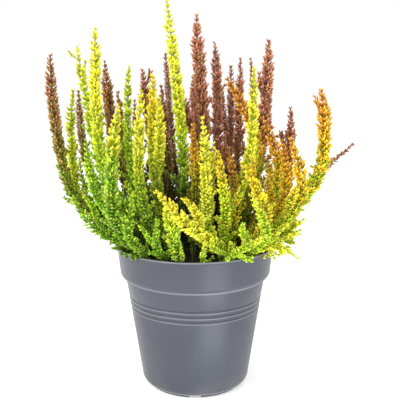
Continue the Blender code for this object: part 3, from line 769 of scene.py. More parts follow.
# The core inside the shoots
CORE_SIDES = 6
CORE_OUT = 0.55
STEM_CORE = 0.75
SIDE_CORE = 0.5
TIP_BACK = 1.4
ROOT_SINK = 14.0
LEAFLESS_SHARE = 0.5
ROUTE_FINENESS = 2.0
FEWEST_POINTS = 4

# Sprigs that fill the bush between the stems, on the lower part of each
SPRIG_FROM = 0.12
SPRIG_TO = 0.70
SPRIG_SPACING = 8.0
SPRIG_LENGTH = 17.0
BACK_SPRIG_LENGTH = 24.0
SPRIG_SHORTENING = 0.6
SPRIG_TURN = math.radians(137.5)
SPRIG_LEAN = math.radians(42.0)
SPRIG_LIFT = 0.15
SPRIG_REACH = 0.6
SPRIG_BARE = 2.0
SPRIG_POINTS = 4

# Tips of twigs that fill the bush or hang over the pot's rim, listed as seen like the stems'
# points, and how far down the nearest stem each twig leaves it
TWIG_TIPS = [
    (-58, -30, 121), (-64, -26, 123), (-69, -18, 126), (-75, -16, 130), (-83, -10, 135), (-90, -2, 142),
    (-96, 2, 150), (-54, -38, 121), (68, -34, 120), (60, -42, 119), (75, -30, 121), (80, -22, 126),
    (58, -36, 120), (64, -36, 120), (68, -32, 123), (70, 12, 208), (63, 14, 226), (74, 14, 200),
    (84, -16, 132), (83, -14, 141), (80, -10, 148), (68, -26, 130), (-48, -52, 124), (-14, -66, 126),
    (24, -64, 125), (44, -58, 122), (67, 20, 216), (76, 20, 209), (92, -5, 180), (26, 30, 251),
    (26, 35, 236), (-97, 10, 203), (-95, 5, 184), (-77, 20, 220), (-42, 20, 195), (-63, 30, 237),
    (-54, 30, 229), (-50, 45, 243), (14, 40, 216), (43, 30, 214), (83, -20, 136), (73, -28, 125),
    (65, -34, 124), (-32, 10, 167), (-30, 25, 186), (-37, 0, 156), (-16, 20, 195), (-5, 25, 192),
    (56, 5, 174), (80, 0, 172), (-24, 10, 178), (-44, 10, 178), (8, 10, 186), (30, 5, 180),
]
TWIG_DROP = 13.0
TWIG_REACH = 3.4
TWIG_LIFT = 0.2
TWIG_STEP = 5.0
TWIG_FEWEST_POINTS = 3

# The leaves' finish: shares of a stem's height, of a shoot's length and of what each effect
# does, and the painted shade in the heart of the bush, which flares upwards like the bush itself.
# Painted shade also darkens the shoots' bases and the lower part of each stem, and the shoots'
# ends pale to their own paler tips with a painted highlight
COLOURS_FROM = 0.16
COLOURS_TO = 0.90
SHOOT_STRAY = 0.22
PATCH_STRAY = 0.25
ODD_EASE = 0.2
ODD_SHOWN = 0.6
LOW_SHADE_TO = 0.55
LOW_SHADE_DARK = 0.5
SHADED_TO_FULL = (0.2, 0.95)
FULL_TO_PALE_HIGHLIGHT = (0.6, 1.0)
PALE_HIGHLIGHT_SHOWN = 0.45
FOOT_SHADE_FADE = (0.02, 0.32)
FOOT_SHADE_LIGHT = 0.60
FOOT_SHADE_LIFT = 0.43
HEART_BACK = 12.0
HEART_FLARE = 0.45
HEART_SPREAD = (-36.0, -12.0)
HEART_TOP = (150.0, 200.0)
HEART_SHADE = 0.65
LEAST_LIGHT = 0.74
SHOOT_LIGHT = 0.76
GRAIN_LIGHT = 0.5


def side_leaf(foot, lean, turn):
    """The four corners of a side leaf: three round its foot, and its tip."""
    along = np.array((math.sin(lean), 0.0, math.cos(lean)))
    across = np.array((math.cos(lean), 0.0, -math.sin(lean)))
    aside = -math.cos(turn) * across + math.sin(turn) * np.array((0.0, 1.0, 0.0))
    out = math.cos(LEAF_LEAN) * along + math.sin(LEAF_LEAN) * aside
    flat = unit(np.cross(along, aside))
    thick = np.cross(flat, out)
    return [foot + LEAF_REACH * thick, foot + LEAF_REACH * (flat - thick) * LEAF_SLIMNESS,
            foot - LEAF_REACH * (flat + thick) * LEAF_SLIMNESS, foot + LEAF_LENGTH * out]


def short_shoot():
    """One short shoot that leans outwards along +X and bends up, thickest near its blunt tip.

    Its corners are turned half-way from ring to ring, like the scale leaves on it.
    """
    leans = np.radians(np.linspace(SHOOT_LEAN, SHOOT_LEAN_AT_TIP, SHOOT_STEPS))
    line = np.cumsum(np.stack([np.sin(leans), 0 * leans, np.cos(leans)], axis=1), axis=0) / SHOOT_STEPS
    points = []
    rises = []
    for ring, (share, reach) in enumerate(SHOOT_RINGS):
        index = round(share * (SHOOT_STEPS - 1))
        lean = leans[index]
        middle = line[index] if share else np.zeros(3)
        for corner in range(SHOOT_CORNERS):
            angle = math.tau * (corner + ring / 2) / SHOOT_CORNERS
            across = math.cos(angle) * reach
            points.append(middle + (math.cos(lean) * across, math.sin(angle) * reach,
                                    -math.sin(lean) * across))
            rises.append(share)
    points.append(line[-1])
    rises.append(1.0)
    corners = [(corner, (corner + 1) % SHOOT_CORNERS) for corner in range(SHOOT_CORNERS)]
    faces = [tuple(reversed(range(SHOOT_CORNERS)))]
    for first in range(0, SHOOT_CORNERS * (len(SHOOT_RINGS) - 1), SHOOT_CORNERS):
        above = first + SHOOT_CORNERS
        for low, low_next in corners:
            faces += [(first + low, first + low_next, above + low),
                      (first + low_next, above + low_next, above + low)]
    tip = len(points) - 1
    faces += [(tip - SHOOT_CORNERS + low, tip - SHOOT_CORNERS + low_next, tip) for low, low_next in corners]
    for share, turn in LEAVES:
        index = round(share * (SHOOT_STEPS - 1))
        first = len(points)
        points += side_leaf(line[index], leans[index], math.radians(turn))
        rises += [share, share, share, 1.0]
        faces += [(first, first + 2, first + 1), (first, first + 1, first + 3),
                  (first + 1, first + 2, first + 3), (first + 2, first, first + 3)]
    obj = object_from("short_shoot", np.array(points) / MM, faces)
    out = obj.data.attributes.new("out", "FLOAT", "POINT")
    out.data.foreach_set("value", rises)
    return obj, line[-1][0]


def leafy_tree(shoot, shoot_reach):
    """Geometry Nodes that clothe routes with short shoots, level by level, round a slim core."""
    web = Growth("leafy_stem", {"Routes": "Geometry", "Level spacing": "Float", "Shoots a level": "Int",
                                "Level turn": "Float", "Seed": "Int", "Leaf": "Material"}, "Leafy stem")
    amount = web.given["Shoots a level"]
    curves = web.wire("GeometryNodeMeshToCurve", None, {0: web.given["Routes"]})
    levels = web.node("GeometryNodeCurveToPoints", {"mode": "LENGTH"},
                      {"Curve": curves, "Length": web.given["Level spacing"]})
    places = web.node("GeometryNodeDuplicateElements", {"domain": "POINT"},
                      {"Geometry": Wire(web, levels.outputs["Points"]), "Amount": amount})
    copy = Wire(web, places.outputs["Duplicate Index"])
    level = (web.wire("GeometryNodeInputIndex") / amount).math("FLOOR")
    spin = level * web.given["Level turn"] + copy * (math.tau / SHOOTS_A_LEVEL)
    spin = spin + web.draw(1, -SPIN_STRAY, SPIN_STRAY)
    lean = (1 - web.field("tipward")) * TIP_LEAN + web.draw(2, -LEAN_STRAY, LEAN_STRAY)
    turned_by = web.wire("FunctionNodeEulerToRotation", None, {0: web.vector(Y=lean, Z=spin)})
    rotation = web.wire("FunctionNodeRotateRotation", {"rotation_space": "LOCAL"},
                        {"Rotation": Wire(web, levels.outputs["Rotation"]), "Rotate By": turned_by})
    length = (web.field("reach") - web.field("core") * 0.5) * (1 / shoot_reach)
    length = length.math("MAXIMUM", LEAST_SHOOT * MM) * web.draw(3, *LENGTH_SHARES)
    stray = web.draw(6).math("POWER", LONG_SHOOT_RARITY) * (1 - web.field("rise"))
    length = length * (1 + stray * LONG_SHOOT)
    loose = web.field("loose")
    stout = length * (1 + loose * LOOSE_STOUTNESS)
    spare = (level / FULL_LEVEL_EVERY).math("FRACT").math("GREATER_THAN", 0.5 / FULL_LEVEL_EVERY)
    kept = web.field("leafy") - spare * (loose - web.draw(7)).math("GREATER_THAN", 0.0)
    kept = kept - (loose * SPARSE_SHARE - web.draw(9)).math("GREATER_THAN", 0.0)
    shoots = web.copies(shoot, Wire(web, places.outputs["Geometry"]),
                        {"Selection": web.is_above(kept, 0.5), "Rotation": rotation,
                         "Scale": web.vector(X=length, Y=stout, Z=length)})
    for name, salt in (("shade", 4), ("fleck", 5), ("odd", 8)):
        shoots = web.store(shoots, "INSTANCE", name, web.draw(salt))
    ring = web.wire("GeometryNodeCurvePrimitiveCircle", None, {"Resolution": CORE_SIDES, "Radius": 1.0})
    core = web.wire("GeometryNodeCurveToMesh", None,
                    {"Curve": curves, "Profile Curve": ring, "Scale": web.field("core"), "Fill Caps": True})
    web.finish(web.given["Leaf"], web.store(core, "POINT", "out", CORE_OUT), shoots)
    return web


def smooth_route(route):
    """A route with finer, rounder steps."""
    heights = heights_along(route)
    slopes = np.gradient(route, heights, axis=0)
    count = max(FEWEST_POINTS, round(heights[-1] / ROUTE_FINENESS))
    fine = np.linspace(0.0, heights[-1], count)
    index = np.clip(np.searchsorted(heights, fine, side="right") - 1, 0, len(route) - 2)
    span = heights[index + 1] - heights[index]
    t = ((fine - heights[index]) / span)[:, None]
    span = span[:, None]
    return cubic(t, route[index], route[index + 1], slopes[index] * span, slopes[index + 1] * span)


def sprigs(stem):
    """Short sprigs round the lower part of a stem, each turned on from the one below."""
    route = stem.route
    height = heights_along(route)
    found = []
    count = int((SPRIG_TO - SPRIG_FROM) * height[-1] / SPRIG_SPACING)
    for turn in range(count):
        share = SPRIG_FROM + (SPRIG_TO - SPRIG_FROM) * (turn + 0.5) / count
        index = int(np.clip(round(share * (len(route) - 1)), 1, len(route) - 2))
        along = unit(route[index + 1] - route[index - 1])
        side = unit(np.cross(along, (0.0, 1.0, 0.0)))
        front = np.cross(side, along)
        angle = SPRIG_TURN * turn + stem.node
        lean = math.cos(angle) * side + math.sin(angle) * front
        length = BACK_SPRIG_LENGTH if route[0][1] > 0.0 else SPRIG_LENGTH
        length *= 1 - SPRIG_SHORTENING * (share - SPRIG_FROM) / (SPRIG_TO - SPRIG_FROM)
        leave = (math.cos(SPRIG_LEAN) * along + math.sin(SPRIG_LEAN) * lean) * length
        start = route[index]
        end = start + leave + np.array((0.0, 0.0, SPRIG_LIFT * length))
        line = np.vstack([start, hermite(start, end, leave, along * length, SPRIG_POINTS)])
        found.append(Stem(stem.node, line, stem.reach * SPRIG_REACH, SPRIG_BARE, stem, index))
    return found


def hanging_twigs(stems):
    """A twig to each listed tip, from a little down the stem that passes nearest to it."""
    found = []
    for listed in TWIG_TIPS:
        tip = upright(*listed)
        gaps = [np.linalg.norm(stem.route - tip, axis=1) for stem in stems]
        nearest = int(np.argmin([gap.min() for gap in gaps]))
        stem = stems[nearest]
        index = max(1, int(np.argmin(gaps[nearest])) - round(TWIG_DROP / ROUTE_STEP))
        start = stem.route[index]
        along = unit(start - stem.route[index - 1])
        length = np.linalg.norm(tip - start)
        arrive = (tip - start) + np.array((0.0, 0.0, TWIG_LIFT * length))
        count = max(TWIG_FEWEST_POINTS, round(length / TWIG_STEP))
        line = np.vstack([start, hermite(start, tip, along * length, arrive, count)])
        found.append(Stem(stem.node, line, TWIG_REACH, SPRIG_BARE, stem, index))
    return found


def numbers_along(stem, top, loose_top):
    """A stem's finer route, and what the tree reads at each of its points."""
    route = smooth_route(stem.route)
    heights, reach = reach_along(route, stem.reach, stem.bare)
    kept = heights < heights[-1] - TIP_BACK
    route, heights, reach = route[kept], heights[kept], reach[kept]
    left = heights[-1] - heights
    core = STEM_RADIUS + (STEM_TIP_RADIUS - STEM_RADIUS) * (heights / heights[-1])
    rows = {
        "reach": reach * MM,
        "core": core * (SIDE_CORE if stem.parent else STEM_CORE) * MM,
        "tipward": np.clip(left / TIP_TAPER, 0, 1),
        "rise": np.clip((route[:, 2] - SOIL_TOP) / (top - SOIL_TOP), 0, 1),
        "leafy": (heights > stem.bare * LEAFLESS_SHARE).astype(float),
        "loose": np.clip(1 - left / min(loose_top, LOOSE_SHARE * heights[-1]), 0, 1),
    }
    if not stem.parent:
        route = np.vstack([route[0] - np.array((0, 0, ROOT_SINK)), route])
        rows = {key: np.concatenate([[row[0]], row]) for key, row in rows.items()}
    return route, rows


def routes_object(name, group, loose_top):
    """The routes of a stem and its side shoots as edges, with what the tree reads along them."""
    points, edges, found = [], [], []
    for stem in group:
        route, rows = numbers_along(stem, group[0].route[-1][2], loose_top)
        edges += [(len(points) + i, len(points) + i + 1) for i in range(len(route) - 1)]
        points += list(route)
        found.append(rows)
    obj = object_from(name, points, [], edges)
    for key in found[0]:
        values = np.concatenate([rows[key] for rows in found])
        obj.data.attributes.new(key, "FLOAT", "POINT").data.foreach_set("value", values)
    return obj


def leaf_material(name, tint, colours):
    """Leaves in the listed colours from foot to tip, with painted shade in the spike, the bush's heart and
    low on each stem, and paler shoot ends with a painted highlight.
    """
    deep, pale, odd, true, _ = TINTS[tint]
    web = Finish(name)
    rise, out, shade = (web.field(key) for key in ("rise", "out", "shade"))
    patch = web.noise(scale=90.0, detail=3.0)
    grain = web.noise(scale=1400.0, detail=2.0)
    shares = np.linspace(COLOURS_FROM, COLOURS_TO, len(colours))
    stops = [(float(share), linear(PALETTE[colour])) for share, colour in zip(shares, colours)]
    height = rise + (shade - 0.5) * SHOOT_STRAY + (patch - 0.5) * PATCH_STRAY
    colour = web.wire("ShaderNodeValToRGB", {"stops": stops}, {0: height})
    colour = web.mix(web.between(web.field("odd"), true, true + ODD_EASE) * ODD_SHOWN, colour, linear(odd))
    # painted shade: the tint's darkened colour on the shoots' bases and the core, inside the spike
    inside = web.mix(1.0, colour, (*deep, 1.0), "MULTIPLY")
    # painted shade: the shaded insides go darker still, towards black, low on each stem
    inside = web.mix((1 - web.between(rise, 0.0, LOW_SHADE_TO)) * LOW_SHADE_DARK, inside, BLACK)
    colour = web.mix(web.between(out, *SHADED_TO_FULL), inside, colour)
    # the shoots' own paler tips, with a painted highlight on them
    ends = web.mix(PALE_HIGHLIGHT_SHOWN, colour, linear(pale))
    colour = web.mix(web.between(out, *FULL_TO_PALE_HIGHLIGHT) * web.field("fleck"), colour, ends)
    # painted shade: the lower part of each stem, behind the shorter stems in front, is darker
    grown = FOOT_SHADE_LIGHT + web.between(rise, *FOOT_SHADE_FADE) * FOOT_SHADE_LIFT
    aside, back, high = web.axes()
    back = back - HEART_BACK * MM
    spread = (aside * aside + back * back).math("SQRT") - high * HEART_FLARE
    inner = 1 - web.between(spread, *(edge * MM for edge in HEART_SPREAD))
    # painted shade in the heart of the bush
    shaded_heart = inner * (1 - web.between(high, *(edge * MM for edge in HEART_TOP)))
    light = LEAST_LIGHT + shade * SHOOT_LIGHT + (grain - 0.5) * GRAIN_LIGHT
    light = light * grown * (1 - shaded_heart * HEART_SHADE)
    tone = web.wire("ShaderNodeCombineColor", None, {0: light, 1: light, 2: light})
    colour = web.mix(1.0, colour, tone, "MULTIPLY")
    return web.surface(colour, rough=0.48 + grain * 0.3, specular=0.35,
                       bump={"Strength": 0.25, "Distance": 0.2 * MM, "Height": grain})


def leafy_stems(stems):
    """One piece for each leafy stem, in place of its node."""
    shoot, shoot_reach = short_shoot()
    tree = leafy_tree(shoot, shoot_reach)
    count = {}
    pieces = []
    for node, (tint, *_, colours) in enumerate(SHOOTS):
        count[tint] = count.get(tint, 0) + 1
        name = f"{tint}_stem_{count[tint]:02d}"
        group = [stem for stem in stems if stem.node == node]
        piece = routes_object(name + "_leaves", group, TINTS[tint][-1])
        tree.grow(piece, {
            "Level spacing": LEVEL_SPACING * MM,
            "Shoots a level": SHOOTS_A_LEVEL,
            "Level turn": math.radians(LEVEL_TURN),
            "Seed": SEEDS_A_STEM * node,
            "Leaf": leaf_material(name + "_leaf", tint, colours.split()),
        })
        pieces.append((piece, name, tint))
    bpy.data.objects.remove(shoot)
    for piece, name, tint in pieces:
        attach(piece, BODY)
        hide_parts(name)


def body_radius(height):
    """Outer radius of the pot's tapered body."""
    return BODY_RADIUS_AT_ZERO + BODY_TAPER * height


def bend(centre, radii, start, end, count):
    """Points along an ellipse's arc, its angles in degrees from +X."""
    angles = [math.radians(start + (end - start) * i / (count - 1)) for i in range(count)]
    return [(centre[0] + radii[0] * math.cos(a), centre[1] + radii[1] * math.sin(a)) for a in angles]


def inner_wall():
    """The pot's inside as (radius, height) points, from the floor's edge up to the lip."""
    low = BODY_FOOT + INNER_FOOT_RISE
    return [
        (CORNER_RADIUS + INNER_CORNER_EASE, FLOOR_TOP),
        (body_radius(low) - WALL, low),
        (body_radius(SHOULDER) - WALL, SHOULDER + WALL),
        (RIM_LOW_RADIUS - WALL, RIM_LOW + WALL),
        (RIM_TOP_RADIUS - WALL, POT_HEIGHT - LIP_HEIGHT),
    ]


def groove(height):
    """The section of one groove round the body, from its upper edge down."""
    points = []
    for share in (i / (GROOVE_POINTS - 1) for i in range(GROOVE_POINTS)):
        level = height + GROOVE_WIDTH * (0.5 - share)
        depth = GROOVE_DEPTH * 0.5 * (1 - math.cos(math.tau * share))
        points.append((body_radius(level) - depth, level))
    return points


def pot_profile():
    """The wall's section as (radius, height) points, from the middle of the floor round to the pad."""
    round_at = POT_HEIGHT - LIP_ROUND
    lip = bend((RIM_TOP_RADIUS - WALL + LIP_INNER_ROUND, round_at), (LIP_INNER_ROUND, LIP_ROUND),
               180, 90, LIP_POINTS)
    lip += bend((LIP_RADIUS - LIP_ROUND, round_at), (LIP_ROUND, LIP_ROUND), 90, 0, LIP_POINTS)
    undercut, rise = LIP_UNDERCUT
    lip_foot = POT_HEIGHT - LIP_HEIGHT + rise
    lip += [(LIP_RADIUS, lip_foot)]
    lip += bend((LIP_RADIUS - undercut, lip_foot), LIP_UNDERCUT, *UNDERCUT_ARC, UNDERCUT_POINTS)
    shoulder_radius = body_radius(SHOULDER)
    outer = bend((shoulder_radius, RIM_LOW), (RIM_LOW_RADIUS - shoulder_radius, RIM_LOW - SHOULDER),
                 *RIM_ARC, RIM_POINTS)
    outer += bend((shoulder_radius + SHOULDER_OUT, SHOULDER - SHOULDER_DROP),
                  (SHOULDER_ROUND, SHOULDER_ROUND), *SHOULDER_ARC, SHOULDER_POINTS)
    for height in GROOVE_HEIGHTS:
        outer += groove(height)
    outer += bend((CORNER_RADIUS, BODY_FOOT),
                  (body_radius(BODY_FOOT) - CORNER_RADIUS, BODY_FOOT - FLOOR_UNDERSIDE),
                  0, -90, CORNER_POINTS)
    foot = [
        (FOOT_OUTER, FLOOR_UNDERSIDE),
        (FOOT_OUTER - FOOT_DRAFT, FOOT_EDGE),
        (FOOT_OUTER - FOOT_EDGE, 0.0),
        (FOOT_INNER + FOOT_EDGE, 0.0),
        (FOOT_INNER + FOOT_DRAFT, FOOT_EDGE),
        (FOOT_INNER, FLOOR_UNDERSIDE),
        (PAD_RADIUS, FLOOR_UNDERSIDE),
        (PAD_RADIUS - PAD_DRAFT, 0.0),
        (0.0, 0.0),
    ]
    return [(0.0, FLOOR_TOP)] + inner_wall() + lip + outer + foot


def turned(name, profile, steps):
    """A closed shell from a section turned once round +Z, whose ends lie on the axis."""
    turns = [math.tau * i / steps for i in range(steps)]
    rings = [[(r * math.cos(turn), r * math.sin(turn), z) for turn in turns] for r, z in profile[1:-1]]
    points = [p for ring in rings for p in ring]
    first, last = len(points), len(points) + 1
    points += [(0.0, 0.0, profile[0][1]), (0.0, 0.0, profile[-1][1])]
    faces = []
    for i in range(steps):
        j = (i + 1) % steps
        faces.append((first, i, j))
        faces += [(r * steps + j, r * steps + i, (r + 1) * steps + i, (r + 1) * steps + j)
                  for r in range(len(rings) - 1)]
        end = (len(rings) - 1) * steps
        faces.append((last, end + j, end + i))
    return object_from(name, points, faces)


def cutter_box(size, place, turn):
    """Points and faces of a box turned about +Z."""
    c, s = math.cos(turn), math.sin(turn)
    half = [side / 2 for side in size]
    corners = [(x, y, z) for x in (-half[0], half[0]) for y in (-half[1], half[1])
               for z in (-half[2], half[2])]
    points = [(place[0] + c * x - s * y, place[1] + s * x + c * y, place[2] + z) for x, y, z in corners]
    return points, [(0, 1, 3, 2), (4, 6, 7, 5), (0, 4, 5, 1), (2, 3, 7, 6), (0, 2, 6, 4), (1, 5, 7, 3)]


def cutter_rod(radius, height, sides, place):
    """Points and faces of an upright rod."""
    turns = [math.tau * i / sides for i in range(sides)]
    points = [(place[0] + radius * math.cos(turn), place[1] + radius * math.sin(turn), z)
              for z in (place[2] - height / 2, place[2] + height / 2) for turn in turns]
    faces = [tuple(range(sides))[::-1], tuple(range(sides, 2 * sides))]
    faces += [(i, (i + 1) % sides, sides + (i + 1) % sides, sides + i) for i in range(sides)]
    return points, faces


def pot_material():
    """Satin grey plastic with faint flow lines and dust, painted shade in its grooves, painted highlights
    under its grooves and on its edges (on the lip partly wear too), and a painted shadow on its foot ring.
    """
    web = Finish("pot_satin_plastic")
    height = web.axes()[2]
    cloud = web.noise(scale=22.0, detail=5.0)
    grain = web.noise(scale=1600.0, detail=2.0)
    drawn = web.wire("ShaderNodeMapping", None, {"Vector": web.place, "Scale": FLOW_SCALE})
    streak = web.noise(scale=1.0, detail=3.0, place=drawn)

    def below(low, high):
        """1 under a height on the pot, 0 over a higher one."""
        return 1 - web.between(height, low * MM, high * MM)

    def band(low, high, ease):
        """1 between two heights on the pot, with eased edges."""
        return web.between(height, low * MM, (low + ease) * MM) * below(high - ease, high)

    flow = web.between(streak, *FLOW_STREAKS) * FLOW_SHOWN
    grooved = band(GROOVE_HEIGHTS[-1] - GROOVE_WIDTH, GROOVE_HEIGHTS[0] + GROOVE_WIDTH, GROOVES_EASE)
    phase = (height - GROOVE_HEIGHTS[1] * MM) * (math.tau / GROOVE_PITCH / MM)
    # painted shade, darkest at the middle of each groove
    groove_shade = web.between(phase.math("COSINE"), 0.0, 1.0) * grooved * GROOVE_SHADE_SHOWN
    # painted highlight just under each groove
    crest = (phase + GROOVE_HIGHLIGHT_PHASE).math("COSINE")
    highlight = web.between(crest, GROOVE_HIGHLIGHT_FROM, 1.0) * grooved * GROOVE_HIGHLIGHT
    # painted highlights along the shoulder, the lip (partly wear too) and above the foot
    for low, high in HIGHLIGHT_BANDS:
        highlight += band(low, high, HIGHLIGHT_EASE) * HIGHLIGHT_SHOWN
    # painted highlight on the lowest few millimetres, under the painted foot shadow
    highlight += below(*FOOT_HIGHLIGHT_LINE) * FOOT_HIGHLIGHT_SHOWN
    dust = below(0.0, DUST_TOP) * web.between(cloud, *DUSTY_CLOUDS) * DUST_SHOWN
    shadow = below(*FOOT_SHADOW_TOP) * FOOT_SHADOW_SHOWN
    paler = web.between(cloud, *PALER_CLOUDS)
    colour = web.paint(linear(PLASTIC), (paler, PALER_PLASTIC), (flow, FLOW_LINE), (groove_shade, GROOVE_SHADE),
                       (highlight, HIGHLIGHT_GREY), (dust, DUST), (shadow, FOOT_SHADOW))
    rough = SATIN_ROUGHNESS + (cloud - 0.5) * CLOUD_ROUGHNESS + (streak - 0.5) * FLOW_ROUGHNESS
    rough = rough + dust * DUST_ROUGHNESS
    return web.surface(colour, rough, specular=0.5,
                       bump={"Strength": 0.12, "Distance": 0.1 * MM, "Height": grain})


def on_ring(radius, turn, height):
    """A point at a turn round the pot's axis."""
    return radius * math.cos(turn), radius * math.sin(turn), height


def pot():
    """The pot's shell, its foot notched and its floor drilled."""
    shell = turned("pot_shell", pot_profile(), POT_STEPS)
    points, faces = [], []
    for index in range(NOTCHES):
        notch = math.tau * index / NOTCHES - math.pi / 2
        drain = notch + math.pi / NOTCHES
        for part_points, part_faces in (
                cutter_box((NOTCH_CUT, NOTCH_WIDTH, 2 * NOTCH_TOP),
                           on_ring((FOOT_OUTER + FOOT_INNER) / 2, notch, 0.0), notch),
                cutter_rod(DRAIN_RADIUS, DRAIN_CUT, DRAIN_SIDES,
                           on_ring(DRAIN_RING, drain, FLOOR_TOP - DRAIN_DROP))):
            faces += [tuple(len(points) + i for i in face) for face in part_faces]
            points += part_points
    tool = object_from("pot_cutter", points, faces)
    cut = shell.modifiers.new("cut", "BOOLEAN")
    cut.operation = "DIFFERENCE"
    cut.object = tool
    cut.solver = "EXACT"
    settle_mesh(shell)
    bpy.data.objects.remove(tool)
    shell.data.shade_smooth()
    shell.data.set_sharp_from_angle(angle=SHARP_EDGE)
    shell.data.materials.clear()
    shell.data.materials.append(pot_material())
    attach(shell, BODY)
    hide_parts("pot")


def crumb():
    """One rough crumb of peat."""
    mesh = bpy.data.meshes.new("crumb")
    shape = bmesh.new()
    bmesh.ops.create_icosphere(shape, subdivisions=1, radius=1.0)
    for vert in shape.verts:
        x, y, z = vert.co
        lump = math.sin(5.1 * x + 2.3) * math.cos(4.3 * y + 1.1)
        vert.co *= CRUMB_LEAST + CRUMB_LUMPS * lump + CRUMB_RIDGES * math.sin(7.0 * z)
        vert.co.z *= CRUMB_FLATNESS
    shape.to_mesh(mesh)
    shape.free()
    return in_scene("crumb", mesh)


def crumb_tree(source):
    """Geometry Nodes that strew crumbs over the faces that look up."""
    web = Growth("crumbs", {"Bed": "Geometry", "Density": "Float", "Size": "Float", "Seed": "Int",
                            "Peat": "Material"}, "Crumbly bed")
    upward = web.wire("ShaderNodeSeparateXYZ", None, {0: web.wire("GeometryNodeInputNormal")}, "Z")
    points = web.wire("GeometryNodeDistributePointsOnFaces", {"distribute_method": "RANDOM"},
                      {"Mesh": web.given["Bed"], "Selection": web.is_above(upward, LEAST_UPWARD),
                       "Density": web.given["Density"], "Seed": web.given["Seed"]}, "Points")
    tumble = web.vector(X=web.draw(1, -CRUMB_TUMBLE, CRUMB_TUMBLE),
                        Y=web.draw(2, -CRUMB_TUMBLE, CRUMB_TUMBLE), Z=web.draw(3, 0.0, math.tau))
    turned_by = web.wire("FunctionNodeEulerToRotation", None, {0: tumble})
    size = web.given["Size"] * web.draw(4, *CRUMB_SHARES[0]) * web.draw(5, *CRUMB_SHARES[1])
    sliver = 1 + web.draw(7).math("POWER", SLIVER_RARITY) * SLIVER_LENGTH
    grains = web.copies(source, points,
                        {"Rotation": turned_by,
                         "Scale": web.vector(X=size * sliver, Y=size / sliver, Z=size)})
    grains = web.store(grains, "INSTANCE", "shade", web.draw(6))
    web.finish(web.given["Peat"], web.given["Bed"], grains)
    return web


def compost_material():
    """Damp dark peat with paler fibres, straw-coloured litter and patches of moss."""
    web = Finish("damp_peat")
    shade = web.field("shade")
    clod = web.noise(scale=220.0, detail=6.0)
    grain = web.noise(scale=1500.0, detail=3.0)
    moss = web.noise(scale=60.0, detail=4.0)
    colour = web.paint(linear(PEAT), (web.between(clod, *DRIER_CLODS), DRIER_PEAT),
                       (web.between(shade, *FIBRE_SHADES) * FIBRES_SHOWN, FIBRE),
                       (web.between(shade, *STRAW_SHADES) * FIBRES_SHOWN, STRAW),
                       (web.between(moss, *MOSSY) * MOSS_SHOWN, MOSS))
    return web.surface(colour, rough=0.72 + grain * 0.25, specular=0.3,
                       bump={"Strength": 0.7, "Distance": 0.5 * MM, "Height": grain + clod})


def bed_rise(x, y):
    """How far the bed stands off its level: a slow swell with a finer roughness on it."""
    swell = math.sin(0.21 * x + 1.0) * math.cos(0.17 * y) + 0.6 * math.sin(0.53 * x - 0.41 * y)
    rough = math.sin(1.7 * x + 0.9 * y) * math.sin(1.3 * y - 0.8 * x)
    return BED_SWELL * swell + BED_ROUGHNESS * rough - BED_SINK


def compost():
    """The plug of compost, its surface uneven and crumbly."""
    wall = [(radius - GAP, height + GAP) for radius, height in inner_wall()]
    share = (SOIL_TOP - wall[-2][1]) / (wall[-1][1] - wall[-2][1])
    rim = wall[-2][0] + (wall[-1][0] - wall[-2][0]) * share
    top = [(rim * i / BED_RINGS, SOIL_TOP) for i in range(BED_RINGS + 1)]
    bed = turned("compost_bed", top + wall[-2::-1] + [(0.0, FLOOR_TOP + GAP)], BED_STEPS)
    shape = bmesh.new()
    shape.from_mesh(bed.data)
    for vert in shape.verts:
        x, y, z = (c / MM for c in vert.co)
        if z > SOIL_TOP - GAP:
            vert.co.z += bed_rise(x, y) * MM
    bmesh.ops.recalc_face_normals(shape, faces=shape.faces)
    shape.to_mesh(bed.data)
    shape.free()
    source = crumb()
    crumb_tree(source).grow(bed, {
        "Density": CRUMBS_A_SQUARE_METRE,
        "Size": CRUMB_SIZE * MM,
        "Seed": CRUMB_SEED,
        "Peat": compost_material(),
    })
    bpy.data.objects.remove(source)
    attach(bed, BODY)
    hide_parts("compost")


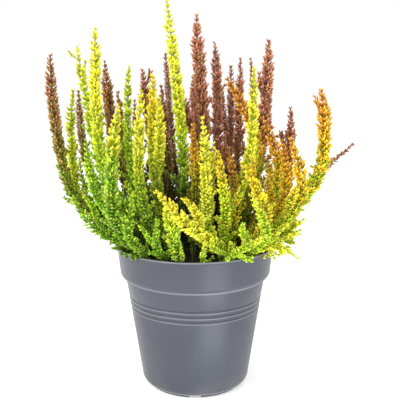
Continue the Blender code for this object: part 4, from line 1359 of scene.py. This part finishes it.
# The studio, in metres: a pale floor, a white surround and two soft lights
FLOOR_SIDE = 4.0
FLOOR_NEAR = -2.5
FLOOR_FAR = 5.5
FLOOR_FINISH = {
    "Base Color": (0.92, 0.92, 0.92, 1.0),
    "Roughness": 0.7,
    "Emission Color": WHITE,
    "Emission Strength": 0.35,
}
LIGHTS = {
    "key": {"place": (-0.9, -0.9, 1.1), "aim": (0.0, 0.0, 0.15), "size": (0.8, 0.8), "power": 14.0,
            "colour": (1.0, 0.97, 0.93)},
    "low_card": {"place": (0.06, -0.13, 0.002), "aim": (0.02, -0.06, 0.06), "size": (0.10, 0.15),
                 "power": 0.13, "colour": (0.92, 0.95, 1.0)},
}
SENSOR_WIDTH = 36.0
LENS = 55.8


def set_inputs(node, values):
    for key, value in values.items():
        node.inputs[key].default_value = value


def floor_and_world():
    """A plain pale floor, and an even white surround."""
    corners = [(x / MM, y / MM, 0.0) for x, y in ((-FLOOR_SIDE, FLOOR_NEAR), (FLOOR_SIDE, FLOOR_NEAR),
                                                  (FLOOR_SIDE, FLOOR_FAR), (-FLOOR_SIDE, FLOOR_FAR))]
    floor = object_from("floor", corners, [(0, 1, 2, 3)])
    mat = bpy.data.materials.new("white_table")
    mat.use_nodes = True
    set_inputs(mat.node_tree.nodes["Principled BSDF"], FLOOR_FINISH)
    floor.data.materials.append(mat)
    world = bpy.data.worlds.new("white_studio")
    bpy.context.scene.world = world
    world.use_nodes = True
    set_inputs(world.node_tree.nodes["Background"], {"Color": WHITE, "Strength": 1.0})


def soft_light(name, place, aim, size, power, colour):
    """A soft box: an area light that looks at a point."""
    data = bpy.data.lights.new(name, "AREA")
    data.shape = "RECTANGLE"
    data.size, data.size_y = size
    data.energy = power
    data.color = colour
    obj = in_scene(name, data)
    obj.location = place
    away = np.array(place) - np.array(aim)
    obj.rotation_euler = (math.atan2(math.hypot(away[0], away[1]), away[2]), 0.0,
                          math.atan2(away[0], -away[1]))


def camera():
    """The camera at the photograph's angle."""
    data = bpy.data.cameras.new("camera")
    data.sensor_width = SENSOR_WIDTH
    data.lens = LENS
    obj = in_scene("camera", data)
    obj.location = (EYE_X * MM, -EYE_BACK * MM, EYE_HEIGHT * MM)
    obj.rotation_euler = (math.pi / 2 - EYE_PITCH, 0.0, 0.0)
    bpy.context.scene.camera = obj


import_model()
camera()
bpy.context.scene.view_settings.view_transform = "Standard"
floor_and_world()
for name, light in LIGHTS.items():
    soft_light(name, **light)
stems = plan_stems()
settle(stems)
main_stems = [stem for stem in stems if not stem.parent]
stems += hanging_twigs(main_stems) + [sprig for stem in main_stems for sprig in sprigs(stem)]
pot()
compost()
leafy_stems(stems)
